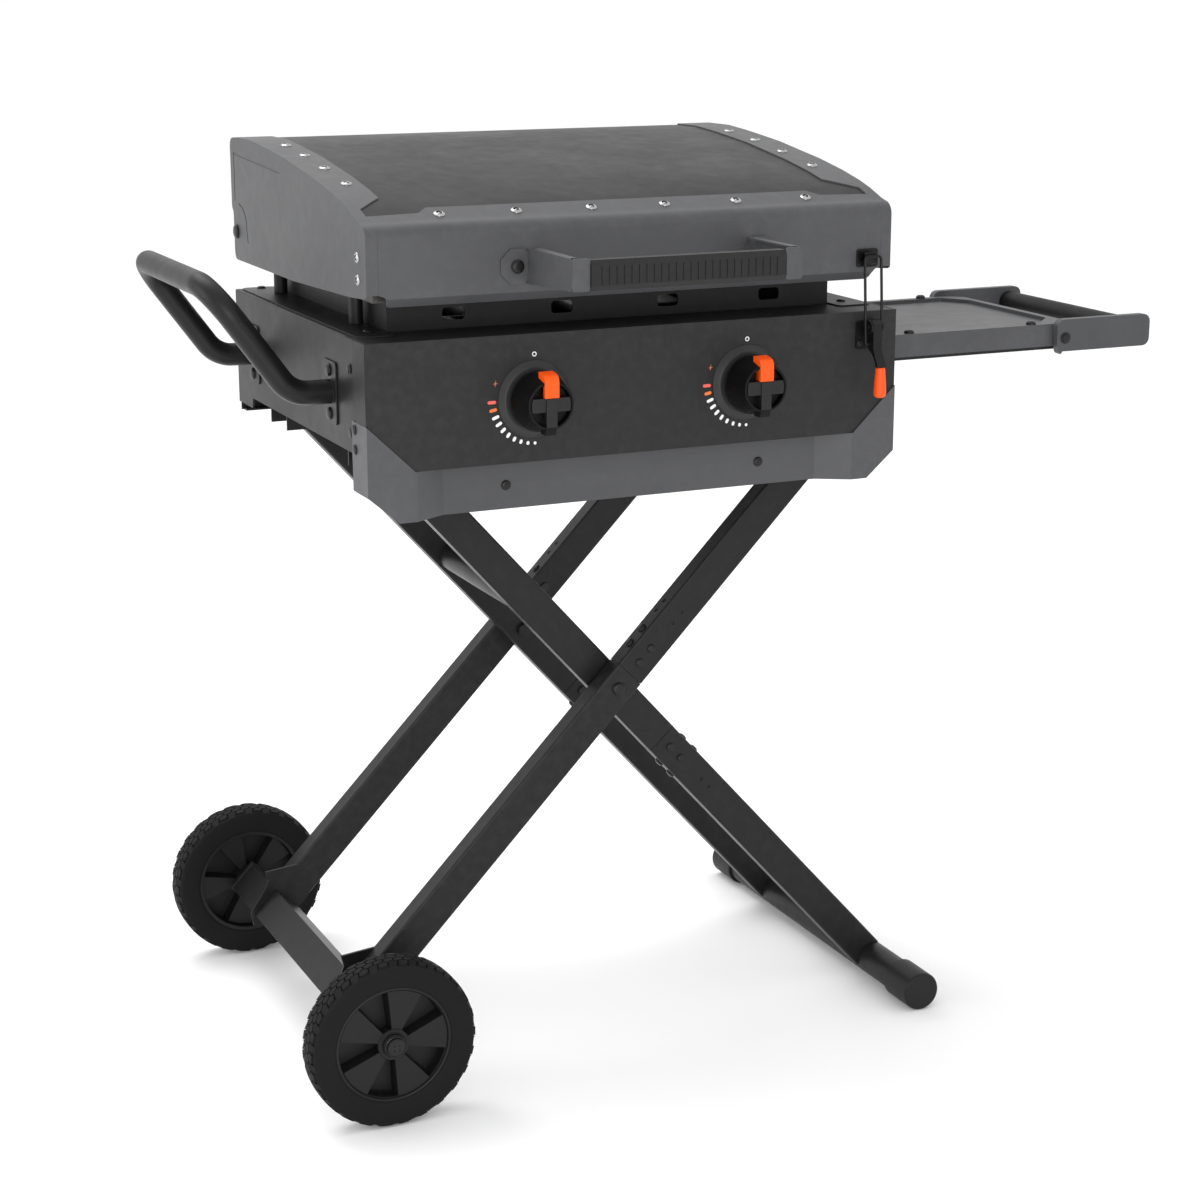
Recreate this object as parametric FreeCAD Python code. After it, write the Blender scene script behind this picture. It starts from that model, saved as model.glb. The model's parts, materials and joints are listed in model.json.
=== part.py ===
import FreeCAD, Part
import math
import os

os.makedirs("parts", exist_ok=True)
V = FreeCAD.Vector

# Outdoor gas griddle station: a sheet-steel body with a hinged hood, carried by
# two folding X frames on two wheels and one foot bar.
# Working frame while building, in millimetres: X = 0 at the middle of the body,
# Y = 0 on the front face of the control panel, +Y to the rear, Z = 0 on the floor.
# Everything is moved at the end so that the origin is the bottom centre of the
# bounding box.

# ---------------------------------------------------------------- dimensions
BODY_W = 600.0            # over the side panels
BODY_D = 450.0
BODY_TOP = 813.5
SHEET = 2.0
SIDE_LOW = 696.5          # lower edge of the side panels
SIDE_LOW_REAR = 684.8
PANEL_LOW = 682.0         # lower edge of the control panel
APRON_LOW = 631.0
KNOB_X = 121.25
KNOB_Z = 746.6
DECK_Z = 811.5            # underside of the deck, which lies flush with the body top
PAN_Z = 708.0             # underside of the bottom pan
BOX_X = 254.5             # half width of the burner box
BOX_Y0, BOX_Y1 = 67.0, 432.0
BOX_TOP = 845.0
PLATE_X = 279.5           # half width of the griddle plate
PLATE_Y0, PLATE_Y1 = 36.0, 431.0
PLATE_Z0, PLATE_Z1 = 848.0, 852.0
POST_X, POST_Y = 265.0, (131.0, 389.0)
HOOD_X = 296.2
SEAM_X = 283.6           # the hood ends lap this far inwards over the front
HOOD_T = 1.5
HOOD_AXIS = (447.0, 879.0)            # (y, z) of the hood pins
HOOD_TOP = [(27, 930), (53, 939), (75, 945), (112, 953), (165, 962), (211, 968),
            (259, 974.5), (308, 979), (342, 982), (387, 985), (440, 984.5), (464, 982)]
MID_Y = 225.0             # plane of symmetry of the legs
LEG_W, LEG_T, LEG_R = 38.0, 24.5, 2.8   # leg tube section and corner radius; 1.5 walls
H_PIV = (-249.1, 686.0)   # (x, z) fixed pivot of the foot legs under the body
P_PIV = (3.15, 406.46)    # centre pivot of the X
F_BAR = (351.0, 20.4)    # foot bar centre
A_AX = (-303.25, 89.47)   # wheel axle centre
T_ROD = (260.5, 672.9)    # sliding cross rod at the top of the wheel legs
FOOT_LEG_Y = (91.5, 334.0)    # front face of each foot leg
WHEEL_LEG_Y = (64.0, 361.5)
WHEEL_R, WHEEL_W, RIM_R = 91.47, 35.1, 62.8
WHEEL_Y = (-49.6, 464.5)
BAR_R, CAP_R = 19.0, 22.4
PIN_R, RUN = 5.0, 0.05    # pivot bolts and their running clearance
TUBE_R = 12.7             # side handle tube
SHELF = (303.0, 594.0, 82.0, 340.0, 745.0, 770.3)
ARM_PIV = (572.5, 755.0)  # (x, z) end handle pivot
KNOB_TRAVEL = 4.5
LATCH_X = 267.0
LEVER_PIV = (-14.0, 798.0)   # (y, z)
BAIL_PIV = (-14.0, 780.0)


# ------------------------------------------------------------------- helpers
def box(x0, x1, y0, y1, z0, z1):
    return Part.makeBox(x1 - x0, y1 - y0, z1 - z0, V(x0, y0, z0))


def cyl(p, n, r, h):
    return Part.makeCylinder(r, h, V(*p), V(*n))


def cyl_y(x, z, r, y0, y1):
    return cyl((x, y0, z), (0, 1, 0), r, y1 - y0)


def cyl_x(y, z, r, x0, x1):
    return cyl((x0, y, z), (1, 0, 0), r, x1 - x0)


def cyl_z(x, y, r, z0, z1):
    return cyl((x, y, z0), (0, 0, 1), r, z1 - z0)


def face_of(pts):
    w = Part.makePolygon([V(*p) for p in pts] + [V(*pts[0])])
    return Part.Face(w)


def prism_x(yz, x0, x1):
    return face_of([(x0, y, z) for y, z in yz]).extrude(V(x1 - x0, 0, 0))


def prism_y(xz, y0, y1):
    return face_of([(x, y0, z) for x, z in xz]).extrude(V(0, y1 - y0, 0))


def prism_z(xy, z0, z1):
    return face_of([(x, y, z0) for x, y in xy]).extrude(V(0, 0, z1 - z0))


def rrect(a0, a1, b0, b1, r):
    out = []
    for ca, cb, t0 in ((a1 - r, b1 - r, 0), (a0 + r, b1 - r, 90), (a0 + r, b0 + r, 180), (a1 - r, b0 + r, 270)):
        for i in range(0, 5):
            t = math.radians(t0 + 22.5 * i)
            out.append((ca + r * math.cos(t), cb + r * math.sin(t)))
    return out


def lathe(rz, p, n):
    # rz: closed half profile (radius, height along n), turned about n through p
    pts = [V(r, 0, z) for r, z in rz]
    f = Part.Face(Part.makePolygon(pts + [pts[0]]))
    s = f.revolve(V(0, 0, 0), V(0, 0, 1), 360)
    if s.Volume < 0:
        s.reverse()
    rot = FreeCAD.Rotation(V(0, 0, 1), V(*n))
    s.Placement = FreeCAD.Placement(V(*p), rot)
    return s


def union(shapes):
    s = shapes[0]
    if len(shapes) > 1:
        s = s.fuse(shapes[1:])
    return s.removeSplitter()


def cut(s, tools):
    if not isinstance(tools, (list, tuple)):
        tools = [tools]
    return s.cut(list(tools))


def mirror_x(s):
    return s.mirror(V(0, 0, 0), V(1, 0, 0))


def mirror_mid(s):
    return s.mirror(V(0, MID_Y, 0), V(0, 1, 0))


def offset_line(pts, d):
    # parallel line of an open (y, z) polyline, d to the left of its direction
    out = []
    n = len(pts)
    for i in range(n):
        if i == 0:
            a, b = pts[0], pts[1]
            dirs = [(b[0] - a[0], b[1] - a[1])]
        elif i == n - 1:
            a, b = pts[-2], pts[-1]
            dirs = [(b[0] - a[0], b[1] - a[1])]
        else:
            dirs = [(pts[i][0] - pts[i - 1][0], pts[i][1] - pts[i - 1][1]),
                    (pts[i + 1][0] - pts[i][0], pts[i + 1][1] - pts[i][1])]
        ns = []
        for dx, dz in dirs:
            l = math.hypot(dx, dz)
            ns.append((-dz / l, dx / l))
        if len(ns) == 1:
            nx, nz = ns[0]
            k = 1.0
        else:
            nx, nz = ns[0][0] + ns[1][0], ns[0][1] + ns[1][1]
            l = math.hypot(nx, nz)
            nx, nz = nx / l, nz / l
            k = 1.0 / (nx * ns[0][0] + nz * ns[0][1])
        out.append((pts[i][0] + nx * d * k, pts[i][1] + nz * d * k))
    return out


def band(pts, d0, d1):
    # closed strip between two parallels of an open line
    return offset_line(pts, d0) + offset_line(pts, d1)[::-1]


def path_wire(pts, radii):
    # polyline with its inner corners rounded by the radii given
    edges = []
    P = [V(*p) for p in pts]
    last = P[0]
    for i in range(1, len(P) - 1):
        a = (P[i - 1] - P[i]).normalize()
        b = (P[i + 1] - P[i]).normalize()
        ang = a.getAngle(b)
        t = radii[i - 1] / math.tan(ang / 2)
        s = P[i] + a * t
        e = P[i] + b * t
        bis = (a + b).normalize()
        c = P[i] + bis * (radii[i - 1] / math.sin(ang / 2))
        m = c - bis * radii[i - 1]
        if (s - last).Length > 1e-6:
            edges.append(Part.LineSegment(last, s).toShape())
        edges.append(Part.Arc(s, m, e).toShape())
        last = e
    if (P[-1] - last).Length > 1e-6:
        edges.append(Part.LineSegment(last, P[-1]).toShape())
    return Part.Wire(edges)


def sweep_round(pts, radii, r, closed=False):
    w = path_wire(pts, radii)
    d = V(*pts[1]) - V(*pts[0])
    c = Part.Wire([Part.Circle(V(*pts[0]), d, r).toShape()])
    return w.makePipeShell([c], True, True)


def bent_tube(pts, radii, r, wall):
    return sweep_round(pts, radii, r).cut(sweep_round(pts, radii, r - wall))


def domed(p, n, r, h, shank, length):
    # pan-head screw: dome outside the surface at p, shank going inwards
    prof = [(0, -length), (shank, -length), (shank, 0), (r, 0), (r, 0.35 * h), (0.86 * r, 0.72 * h),
            (0.55 * r, 0.94 * h), (0, h)]
    return lathe(prof, p, n)


def hex_prism(p, n, af, h):
    pts = []
    r = af / math.sqrt(3)
    for i in range(6):
        t = math.radians(60 * i + 30)
        pts.append(V(r * math.cos(t), r * math.sin(t), 0))
    s = Part.Face(Part.makePolygon(pts + [pts[0]])).extrude(V(0, 0, h))
    s.Placement = FreeCAD.Placement(V(*p), FreeCAD.Rotation(V(0, 0, 1), V(*n)))
    return s


NODES = {}


def node(name, shape):
    solids = shape.Solids
    if len(solids) == 1:
        NODES[name] = solids[0]
    else:
        NODES[name] = Part.makeCompound(solids)


# ------------------------------------------------------------------ fasteners
# station screws: (point, outward normal, head radius, head height, shank radius, length)
station_screws = []


def st_screw(p, n, r=5.2, h=2.6, sh=2.4, ln=7.0):
    station_screws.append((p, n, r, h, sh, ln))


for sx in (-1, 1):
    st_screw((sx * 300, 51, 782), (sx, 0, 0))
    st_screw((sx * 300, 50, 717), (sx, 0, 0))
    st_screw((sx * 302, 34, 723), (sx, 0, 0), ln=9)
    st_screw((sx * 302, 33, 703), (sx, 0, 0), ln=9)
    st_screw((sx * 146, 18, 656), (0, -1, 0))
for y in (91.5, 333.0):
    for x in (375, 538):
        st_screw((x, y, 770.3), (0, 0, 1), r=5.8, h=4.2, sh=2.4, ln=9.6)
for y in (112, 383):
    for z in (772, 727):
        st_screw((-302, y, z), (-1, 0, 0), r=6.5, h=3.2, sh=2.9, ln=10)
for z in (703, 757, 795):
    for sx in (-1, 1):
        st_screw((sx * 288, 450, z), (0, 1, 0), ln=7)
for sx in (-1, 1):
    # burner box strips on the deck, and the hinge brackets behind the box
    for y in (70, 436):
        st_screw((sx * 273.5, y, 815.0), (0, 0, 1), r=5.0, h=2.4, ln=6)
    for z in (823, 840):
        st_screw((sx * 239, 434.5, z), (0, 1, 0), r=4.6, h=2.2, sh=2.0, ln=6)
screw_solids = [domed(*s) for s in station_screws]
screw_holes = [cyl(tuple(p[i] + n[i] * 0.5 for i in range(3)), (-n[0], -n[1], -n[2]), sh + 0.05, ln + 1.0)
               for p, n, r, h, sh, ln in station_screws]

# hood pins: pan-head bolts through the hood ends into the hinge brackets
hy, hz = HOOD_AXIS
hood_pins = []
for sx in (-1, 1):
    p = lathe([(0, -18.5), (4.0, -18.5), (4.0, 0), (8.0, 0), (8.0, 1.4), (6.6, 2.8), (3.6, 3.5), (0, 3.7)],
              (sx * (HOOD_X + 0.3), hy, hz), (sx, 0, 0))
    hood_pins.append(p)

# end handle pivots: shoulder bolts through the arms into the shelf rails
arm_pins = []
for y0, n in ((71.2, -1), (350.8, 1)):
    arm_pins.append(lathe([(0, -16.4), (PIN_R, -16.4), (PIN_R, 0), (6.6, 0), (6.6, 0.7), (4.9, 0.9), (4.6, 2.2), (3.4, 2.9), (0, 3.1)],
                          (ARM_PIV[0], y0, ARM_PIV[1]), (0, n, 0)))

# ------------------------------------------------------------------ side panels
side = prism_x([(2, BODY_TOP), (450, BODY_TOP), (450, SIDE_LOW_REAR), (398, SIDE_LOW_REAR), (395, SIDE_LOW),
                (50, SIDE_LOW), (48, 669), (2, 669)], -300, -298)
# turned-in flange along the rear edge for the rear panel screws
flange = box(-298, -278, 446, 448, 690, 810)
# the top is bent in to form the deck beside the burner box
deck = box(-299, -(BOX_X + 0.2), 60.5, 432.5, DECK_Z, BODY_TOP)
side = union([side, flange, deck])
ed = [e for e in side.Edges if abs(e.BoundBox.XMin + 300) < 1e-6 and abs(e.BoundBox.XMax + 300) < 1e-6
      and abs(e.BoundBox.ZMin - BODY_TOP) < 1e-6 and e.BoundBox.ZLength < 1e-6]
print("side bend edges", len(ed))
side = side.makeFillet(1.9, ed)
post_holes = [cyl_z(sx * POST_X, y, 4.5, DECK_Z - 2, DECK_Z + 8) for sx in (-1, 1) for y in POST_Y]
side_left = cut(side, screw_holes + post_holes)
side_right = cut(mirror_x(side), screw_holes + post_holes)
node("side_panel_left", side_left)
node("side_panel_right", side_right)

# ------------------------------------------------------------------- rear panel
rear = box(-298, 298, 448, 450, 675, BODY_TOP)
rear = union([rear, box(-298, 298, 436, 448, 675, 677), box(-297.8, 297.8, 433, 449, DECK_Z, BODY_TOP)])
rear = cut(rear, [box(-298.5, -296, 436, 448, 670, 700), box(296, 298.5, 436, 448, 670, 700)])
# two angle rails that carry the grease cup by its rim
rails = []
for x0, x1, xo in ((141.0, 149.5, 139.0), (230.5, 239.0, 239.0)):
    rails.append(box(x0, x1, 450, 498, 785.4, 787.4))
    rails.append(box(xo, xo + 2, 450, 498, 785.4, 796))
rear = union([rear] + rails)
rear = cut(rear, screw_holes)
node("rear_panel", rear)

# ---------------------------------------------------------------- control panel
cp = prism_y([(-302, BODY_TOP), (302, BODY_TOP), (302, 731.2), (299.9, 731.2), (299.9, 727), (254, PANEL_LOW),
              (-254, PANEL_LOW), (-299.9, 727), (-299.9, 731.2), (-302, 731.2)], 0, 2)
parts = [cp, box(-302, 302, 2, 60, BODY_TOP - SHEET, BODY_TOP), box(-253.5, 253.5, 59, 66.6, BODY_TOP - SHEET, BODY_TOP)]
for sx in (-1, 1):
    a, b = sorted((sx * 300, sx * 302))
    parts.append(prism_x([(2, BODY_TOP - SHEET), (37, BODY_TOP - SHEET), (37, 760), (31, 731.3), (2, 731.3)], a, b))
parts.append(box(-250, 250, 2, 16, PANEL_LOW, PANEL_LOW + SHEET))
cp = union(parts)
# the flange stops short of the side panels' thickness so that the panels close the corners
cp = cut(cp, [box(-300, -298, 2, 70, 600, BODY_TOP), box(298, 300, 2, 70, 600, BODY_TOP)])
cp = union([cp] + [box(min(sx * 298, sx * 302), max(sx * 298, sx * 302), 0, 2, 735, BODY_TOP) for sx in (-1, 1)])
for sx in (-1, 1):
    cp = cp.cut(cyl_y(sx * KNOB_X, KNOB_Z, 9.5, -2, 5))
cp = cut(cp, screw_holes)
print("control panel solids", len(cp.Solids))
node("control_panel", cp)

# ------------------------------------------------------------------------ apron
out_line = [(-302, 43), (-302, -2), (-250, -2), (-215, 18), (215, 18), (250, -2), (302, -2), (302, 43)]
ap = prism_z(band(out_line, 0, SHEET), 620, 740)
front_shape = prism_y([(-302, 731), (-251, PANEL_LOW), (251, PANEL_LOW), (302, 731), (302, 659.5), (269.3, APRON_LOW),
                       (-269.3, APRON_LOW), (-302, 659.5)], -10, 60)
ap = ap.common(front_shape)
lip = prism_z([(-196, 20), (-190, 34), (190, 34), (196, 20)], APRON_LOW, APRON_LOW + SHEET)
ap = union([ap, lip])
ap = cut(ap, screw_holes)
print("apron solids", len(ap.Solids))
node("apron", ap)

# ----------------------------------------------------------- bottom pan and box
pan = box(-297.5, 297.5, 50, 445.5, PAN_Z, PAN_Z + 1.5)
pan = union([pan, box(-292, 292, 8, 50, PAN_Z, PAN_Z + 1.5)])
pan = pan.cut(cyl_z(215, 34, 13.0, PAN_Z - 1, PAN_Z + 3))
pan = cut(pan, screw_holes)
node("bottom_pan", pan)

z0 = PAN_Z + 1.5
bb = box(-BOX_X, BOX_X, BOX_Y0, BOX_Y1, z0, BOX_TOP).cut(
    box(-BOX_X + SHEET, BOX_X - SHEET, BOX_Y0 + SHEET, BOX_Y1 - SHEET, z0 - 1, BOX_TOP + 1))
strips = []
for sx in (-1, 1):
    a, b = sorted((sx * (BOX_X - 1), sx * 295.0))
    strips.append(prism_z(rrect(a, b, 40.0, 446.0, 9.0), BODY_TOP, BODY_TOP + 1.5).cut(
        box(-BOX_X, BOX_X, BOX_Y0 - 40, BOX_Y1 + 40, BODY_TOP - 1, BODY_TOP + 3)))
# the strips and the walls are welded along a narrow fold
bb = bb.fuse([strips[0], strips[1], box(-BOX_X - 1, -BOX_X + 1, 72, 427, BODY_TOP, BODY_TOP + 1.5),
              box(BOX_X - 1, BOX_X + 1, 72, 427, BODY_TOP, BODY_TOP + 1.5)]).removeSplitter()
print("burner box solids", len(bb.Solids))
cuts = list(post_holes)
for sx in (-1, 1):
    cuts.append(cyl_y(sx * KNOB_X, KNOB_Z, 16.0, BOX_Y0 - 2, BOX_Y0 + 5))
for x in (-182, -61, 61, 182):
    cuts.append(prism_y(rrect(x - 12.3, x + 12.3, 822.2, 835.0, 4), BOX_Y0 - 2, BOX_Y0 + 5))
    cuts.append(prism_y(rrect(x - 12.3, x + 12.3, 822.2, 835.0, 4), BOX_Y1 - 5, BOX_Y1 + 2))
# way out for the grease spout through the rear wall
cuts.append(box(172, 208, BOX_Y1 - 5, BOX_Y1 + 2, 838.5, BOX_TOP + 1))
bb = cut(bb, cuts + screw_holes)
node("burner_box", bb)

# ----------------------------------------------------------- leg guide channels
def channel(y_out0, inner_first):
    # inverted U along X; y_out0 is the outer face of the first wall
    ya, yb = y_out0, y_out0 + 60
    w = []
    for (p, q) in ((ya, ya + 2), (yb - 2, yb)):
        w.append(prism_y([(-281, 706), (297.8, 706), (297.8, 688), (299, 688), (299, 655), (200, 655), (194, 669), (-281, 669)], p, q))
    w.append(box(-281, 297.5, ya, yb, 706, PAN_Z))
    s = union(w)
    # the web is open at both ends where the side panels' lower flanges stand
    hole = cyl_y(H_PIV[0], H_PIV[1], PIN_R + RUN, ya - 1, yb + 1)
    slot = union([box(T_ROD[0], 305, ya - 1, yb + 1, 666.4, 678.4), cyl_y(T_ROD[0], 672.4, 6.0, ya - 1, yb + 1)])
    ia, ib = (yb - 2, yb) if not inner_first else (ya, ya + 2)
    notch = prism_y([(-32, 668), (-32, 676), (-26, 682), (16, 682), (22, 676), (22, 668)], ia - 0.5, ib + 0.5)
    return cut(s, [hole, slot, notch])


ch = Part.makeCompound([channel(60, False), channel(330, True)])
node("leg_channels", ch)

# ------------------------------------------------------------------- gas train
man = cyl_x(34, 722, 9.5, -165, 224.5).cut(cyl_x(34, 722, 7.5, -162, 221.5))
drop = cyl_z(215, 34, 9.5, 690, 722)
man = union([man, drop])
man = cut(man, [cyl_z(215, 34, 5.0, 670, 722)])
fitting = union([hex_prism((215, 34, 684), (0, 0, 1), 22, 9), cyl_z(215, 34, 7.9, 668, 684)])
fitting = fitting.cut(cyl_z(215, 34, 5.0, 660, 700))
man = union([man, fitting])
# saddle holes under the valves
for sx in (-1, 1):
    man = man.cut(cyl_z(sx * KNOB_X, 34, 3.0, 722, 735))
node("gas_manifold", man)

valves = []
for sx in (-1, 1):
    x = sx * KNOB_X
    v = box(x - 12, x + 12, 14, 48, 731.6, 762)
    v = union([v, cyl_y(x, KNOB_Z, 9.0, 4.5, 14), cyl_y(x, KNOB_Z, 8.5, 48, 58), cyl_y(x, KNOB_Z, 5.0, 58, 74)])
    v = v.cut(cyl_y(x, KNOB_Z, 7.0 + RUN, 18, 44))        # seat of the plug
    v = v.cut(cyl_y(x, KNOB_Z, 4.0 + RUN, 0, 20))         # stem bore
    v = v.cut(cyl_y(x, KNOB_Z, 1.6, 43, 80))              # gas way to the jet
    v = v.cut(cyl_z(x, 34, 2.5, 730, 742))
    valves.append(v)
node("gas_valves", Part.makeCompound(valves))

# tube burners: a mixing tube rises from each valve into an H of two ported tubes
burners = []
for sx in (-1, 1):
    x = sx * KNOB_X
    zt = 786.0
    mouth = 70.5
    line = [(x, mouth + 2, KNOB_Z), (x, 105, KNOB_Z), (x, 165, zt), (x, 250, zt)]
    rr = [35.0, 35.0]
    outer = [sweep_round(line, rr, 12.0), cyl_x(250, zt, 12.0, x - 55, x + 55)]
    inner = [sweep_round([(x, mouth, KNOB_Z)] + line[1:3] + [(x, 248, zt)], rr, 10.5), cyl_x(250, zt, 10.5, x - 54, x + 54)]
    for dx in (-55, 55):
        outer.append(cyl_y(x + dx, zt, 13.0, 110, 398))
        inner.append(cyl_y(x + dx, zt, 11.5, 112, 396))
    ports = []
    for dx in (-55, 55):
        for k in range(12):
            ports.append(cyl((x + dx, 124 + 23.5 * k, zt + 8), (0, 0, 1), 1.5, 8))
    bell = lathe([(0, 0), (15.2, 0), (15.2, 3), (12.0, 8), (0, 8)], (x, mouth + 2 - 1.2, KNOB_Z), (0, 1, 0))
    s = union(outer + [bell])
    s = cut(s, inner + [cyl_y(x, KNOB_Z, 10.5, mouth - 2, mouth + 20)])
    s = cut(s, ports)
    # saddle feet resting on the pan
    for dx in (-55, 55):
        for y in (130, 378):
            f = box(x + dx - 8, x + dx + 8, y - 1, y + 1, PAN_Z + 1.5, zt - 11)
            f = f.cut(cyl_y(x + dx, zt, 12.9, y - 5, y + 5))
            s = s.fuse(f)
    s = s.removeSplitter()
    burners.append(s)
    print("burner solids", len(s.Solids))
node("burners", Part.makeCompound(burners))

# ------------------------------------------------------------------ knob bezels
bez = []
for sx in (-1, 1):
    b = lathe([(10, 0), (13, 0), (13, 4.4), (33, 4.4), (37.6, 0), (40, 0), (40, 0.9), (34.6, 5.5), (33.4, 6.0), (10, 6.0)],
              (sx * KNOB_X, 0, KNOB_Z), (0, -1, 0))
    bez.append(b)
node("knob_bezels", Part.makeCompound(bez))

# valve plugs with their D-section stems; the flat is on the underside
for sx, nm in ((-1, "left"), (1, "right")):
    x = sx * KNOB_X
    plug = lathe([(0, 0), (7.0, 0), (7.0, 23.0), (4.0, 23.0), (4.0, 62.5), (3.5, 63.0), (0, 63.0)],
                 (x, 42.0, KNOB_Z), (0, -1, 0))
    plug = plug.cut(box(x - 6, x + 6, -25, 0, KNOB_Z - 6, KNOB_Z - 2.6))
    plug = plug.cut(cyl((x, 34, KNOB_Z), (0, 0, -1), 2.0, 8))
    node("valve_plug_" + nm, plug)

# ------------------------------------------------------------------------ knobs
for sx, nm in ((-1, "left"), (1, "right")):
    x = sx * KNOB_X
    k = lathe([(0, 12.2), (31.0, 12.2), (31.2, 16.0), (30.6, 19.0), (25.0, 40.0), (23.6, 41.4), (0, 41.4)],
              (x, 0, KNOB_Z), (0, -1, 0))
    shell = lathe([(0, 11.0), (28.5, 11.0), (28.2, 17.0), (22.4, 37.0), (0, 37.0)], (x, 0, KNOB_Z), (0, -1, 0))
    k = k.cut(shell)
    k = k.fuse(cyl_y(x, KNOB_Z, 8.0, -39.5, -12.4))
    # dished face below and beside the cross band
    dish = lathe([(0, 39.4), (21.4, 39.4), (22.2, 42.0), (0, 42.0)], (x, 0, KNOB_Z), (0, -1, 0))
    k = k.cut(dish)
    # upright grip with its lower end proud of the skirt, and the cross band
    grip = prism_y([(x - 5.85, KNOB_Z - 30.5), (x + 5.85, KNOB_Z - 30.5), (x + 5.85, KNOB_Z + 7.7), (x - 5.85, KNOB_Z + 7.7)], -46.0, -29.0)
    cross = cyl_y(x, KNOB_Z, 23.4, -44.6, -38.5).common(box(x - 30, x + 30, -60, 0, KNOB_Z - 6.5, KNOB_Z + 7.7))
    upper = prism_y([(x - 7.7, KNOB_Z + 6), (x + 7.7, KNOB_Z + 6), (x + 7.7, KNOB_Z + 24), (x - 7.7, KNOB_Z + 24)], -42.0, -37.5)
    k = k.fuse([grip, cross, upper])
    # seat of the pointer at the top of the grip
    seat = prism_y([(x - 7.8, KNOB_Z + 7.7), (x + 7.8, KNOB_Z + 7.7), (x + 7.8, KNOB_Z + 40), (x - 7.8, KNOB_Z + 40)], -50, -29.0)
    k = k.cut(seat)
    bore = cyl_y(x, KNOB_Z, 4.0 + RUN, -26.0, -10.0).cut(box(x - 6, x + 6, -45, 0, KNOB_Z - 8, KNOB_Z - 2.6 - RUN))
    k = k.cut(bore)
    k = k.removeSplitter()
    print("knob solids", len(k.Solids))
    node("knob_" + nm, k)
    # orange pointer: a block that wraps over the top edge of the knob
    pt = prism_x([(-29.1, KNOB_Z + 7.8), (-46.0, KNOB_Z + 7.8), (-46.8, KNOB_Z + 9.0), (-46.8, KNOB_Z + 24.0), (-45.9, KNOB_Z + 27.2),
                  (-43.6, KNOB_Z + 30.0), (-40.0, KNOB_Z + 31.4), (-34.0, KNOB_Z + 32.4), (-29.1, KNOB_Z + 32.8)], x - 7.7, x + 7.7)
    node("knob_pointer_" + nm, pt)

# --------------------------------------------------------------------- griddle
gp = [box(-PLATE_X, PLATE_X, PLATE_Y0, PLATE_Y1, PLATE_Z0, PLATE_Z1)]
wall = [(PLATE_Y0, PLATE_Z1), (PLATE_Y0, 864), (70, 868), (300, 896), (PLATE_Y1, 900), (PLATE_Y1, PLATE_Z1)]
gp.append(prism_x(wall, -PLATE_X, -PLATE_X + 3))
gp.append(prism_x(wall, PLATE_X - 3, PLATE_X))
gp.append(box(-PLATE_X, PLATE_X, PLATE_Y1 - 3, PLATE_Y1, PLATE_Z1, 900))
gp.append(box(-PLATE_X, PLATE_X, PLATE_Y0, PLATE_Y0 + 3, PLATE_Z1, 864))
gp.append(box(176, 204, PLATE_Y1, 488, 842.5, 852))
gr = union(gp)
gr = cut(gr, [box(178.5, 201.5, 415, 485.5, 845.0, 905).common(box(170, 210, 431, 490, 840, 910)),
              box(178.5, 201.5, 405, 431.1, PLATE_Z0 - 1, 864), cyl_z(190, 475, 9.0, 840, 846)])
tray = box(176, 204, 403, 431.0, 842.5, PLATE_Z0).cut(box(178.5, 201.5, 405.5, 440, 845.0, 852))
gr = union([gr, tray])
print("griddle solids", len(gr.Solids))
node("griddle_plate", gr)
posts = []
for sx in (-1, 1):
    for y in POST_Y:
        posts.append(lathe([(0, 804), (3.4, 804), (4.0, 805), (4.0, 815.0), (7.5, 815.0), (7.5, PLATE_Z0), (0, PLATE_Z0)],
                           (sx * POST_X, y, 0), (0, 0, 1)))
node("griddle_posts", Part.makeCompound(posts))

# ------------------------------------------------------------------------ hood
nose = [(5.8, 905.0), (5.8, 915.0)]
for i in range(1, 7):
    t = math.radians(90 * i / 6.5)
    nose.append((5.8 + 15.0 * (1 - math.cos(t)), 915.0 + 13.2 * math.sin(t)))
full = nose + HOOD_TOP[0:]
lv = offset_line(HOOD_TOP, -1.0)
inward = -1.0 if lv[3][1] < HOOD_TOP[3][1] else 1.0

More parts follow.
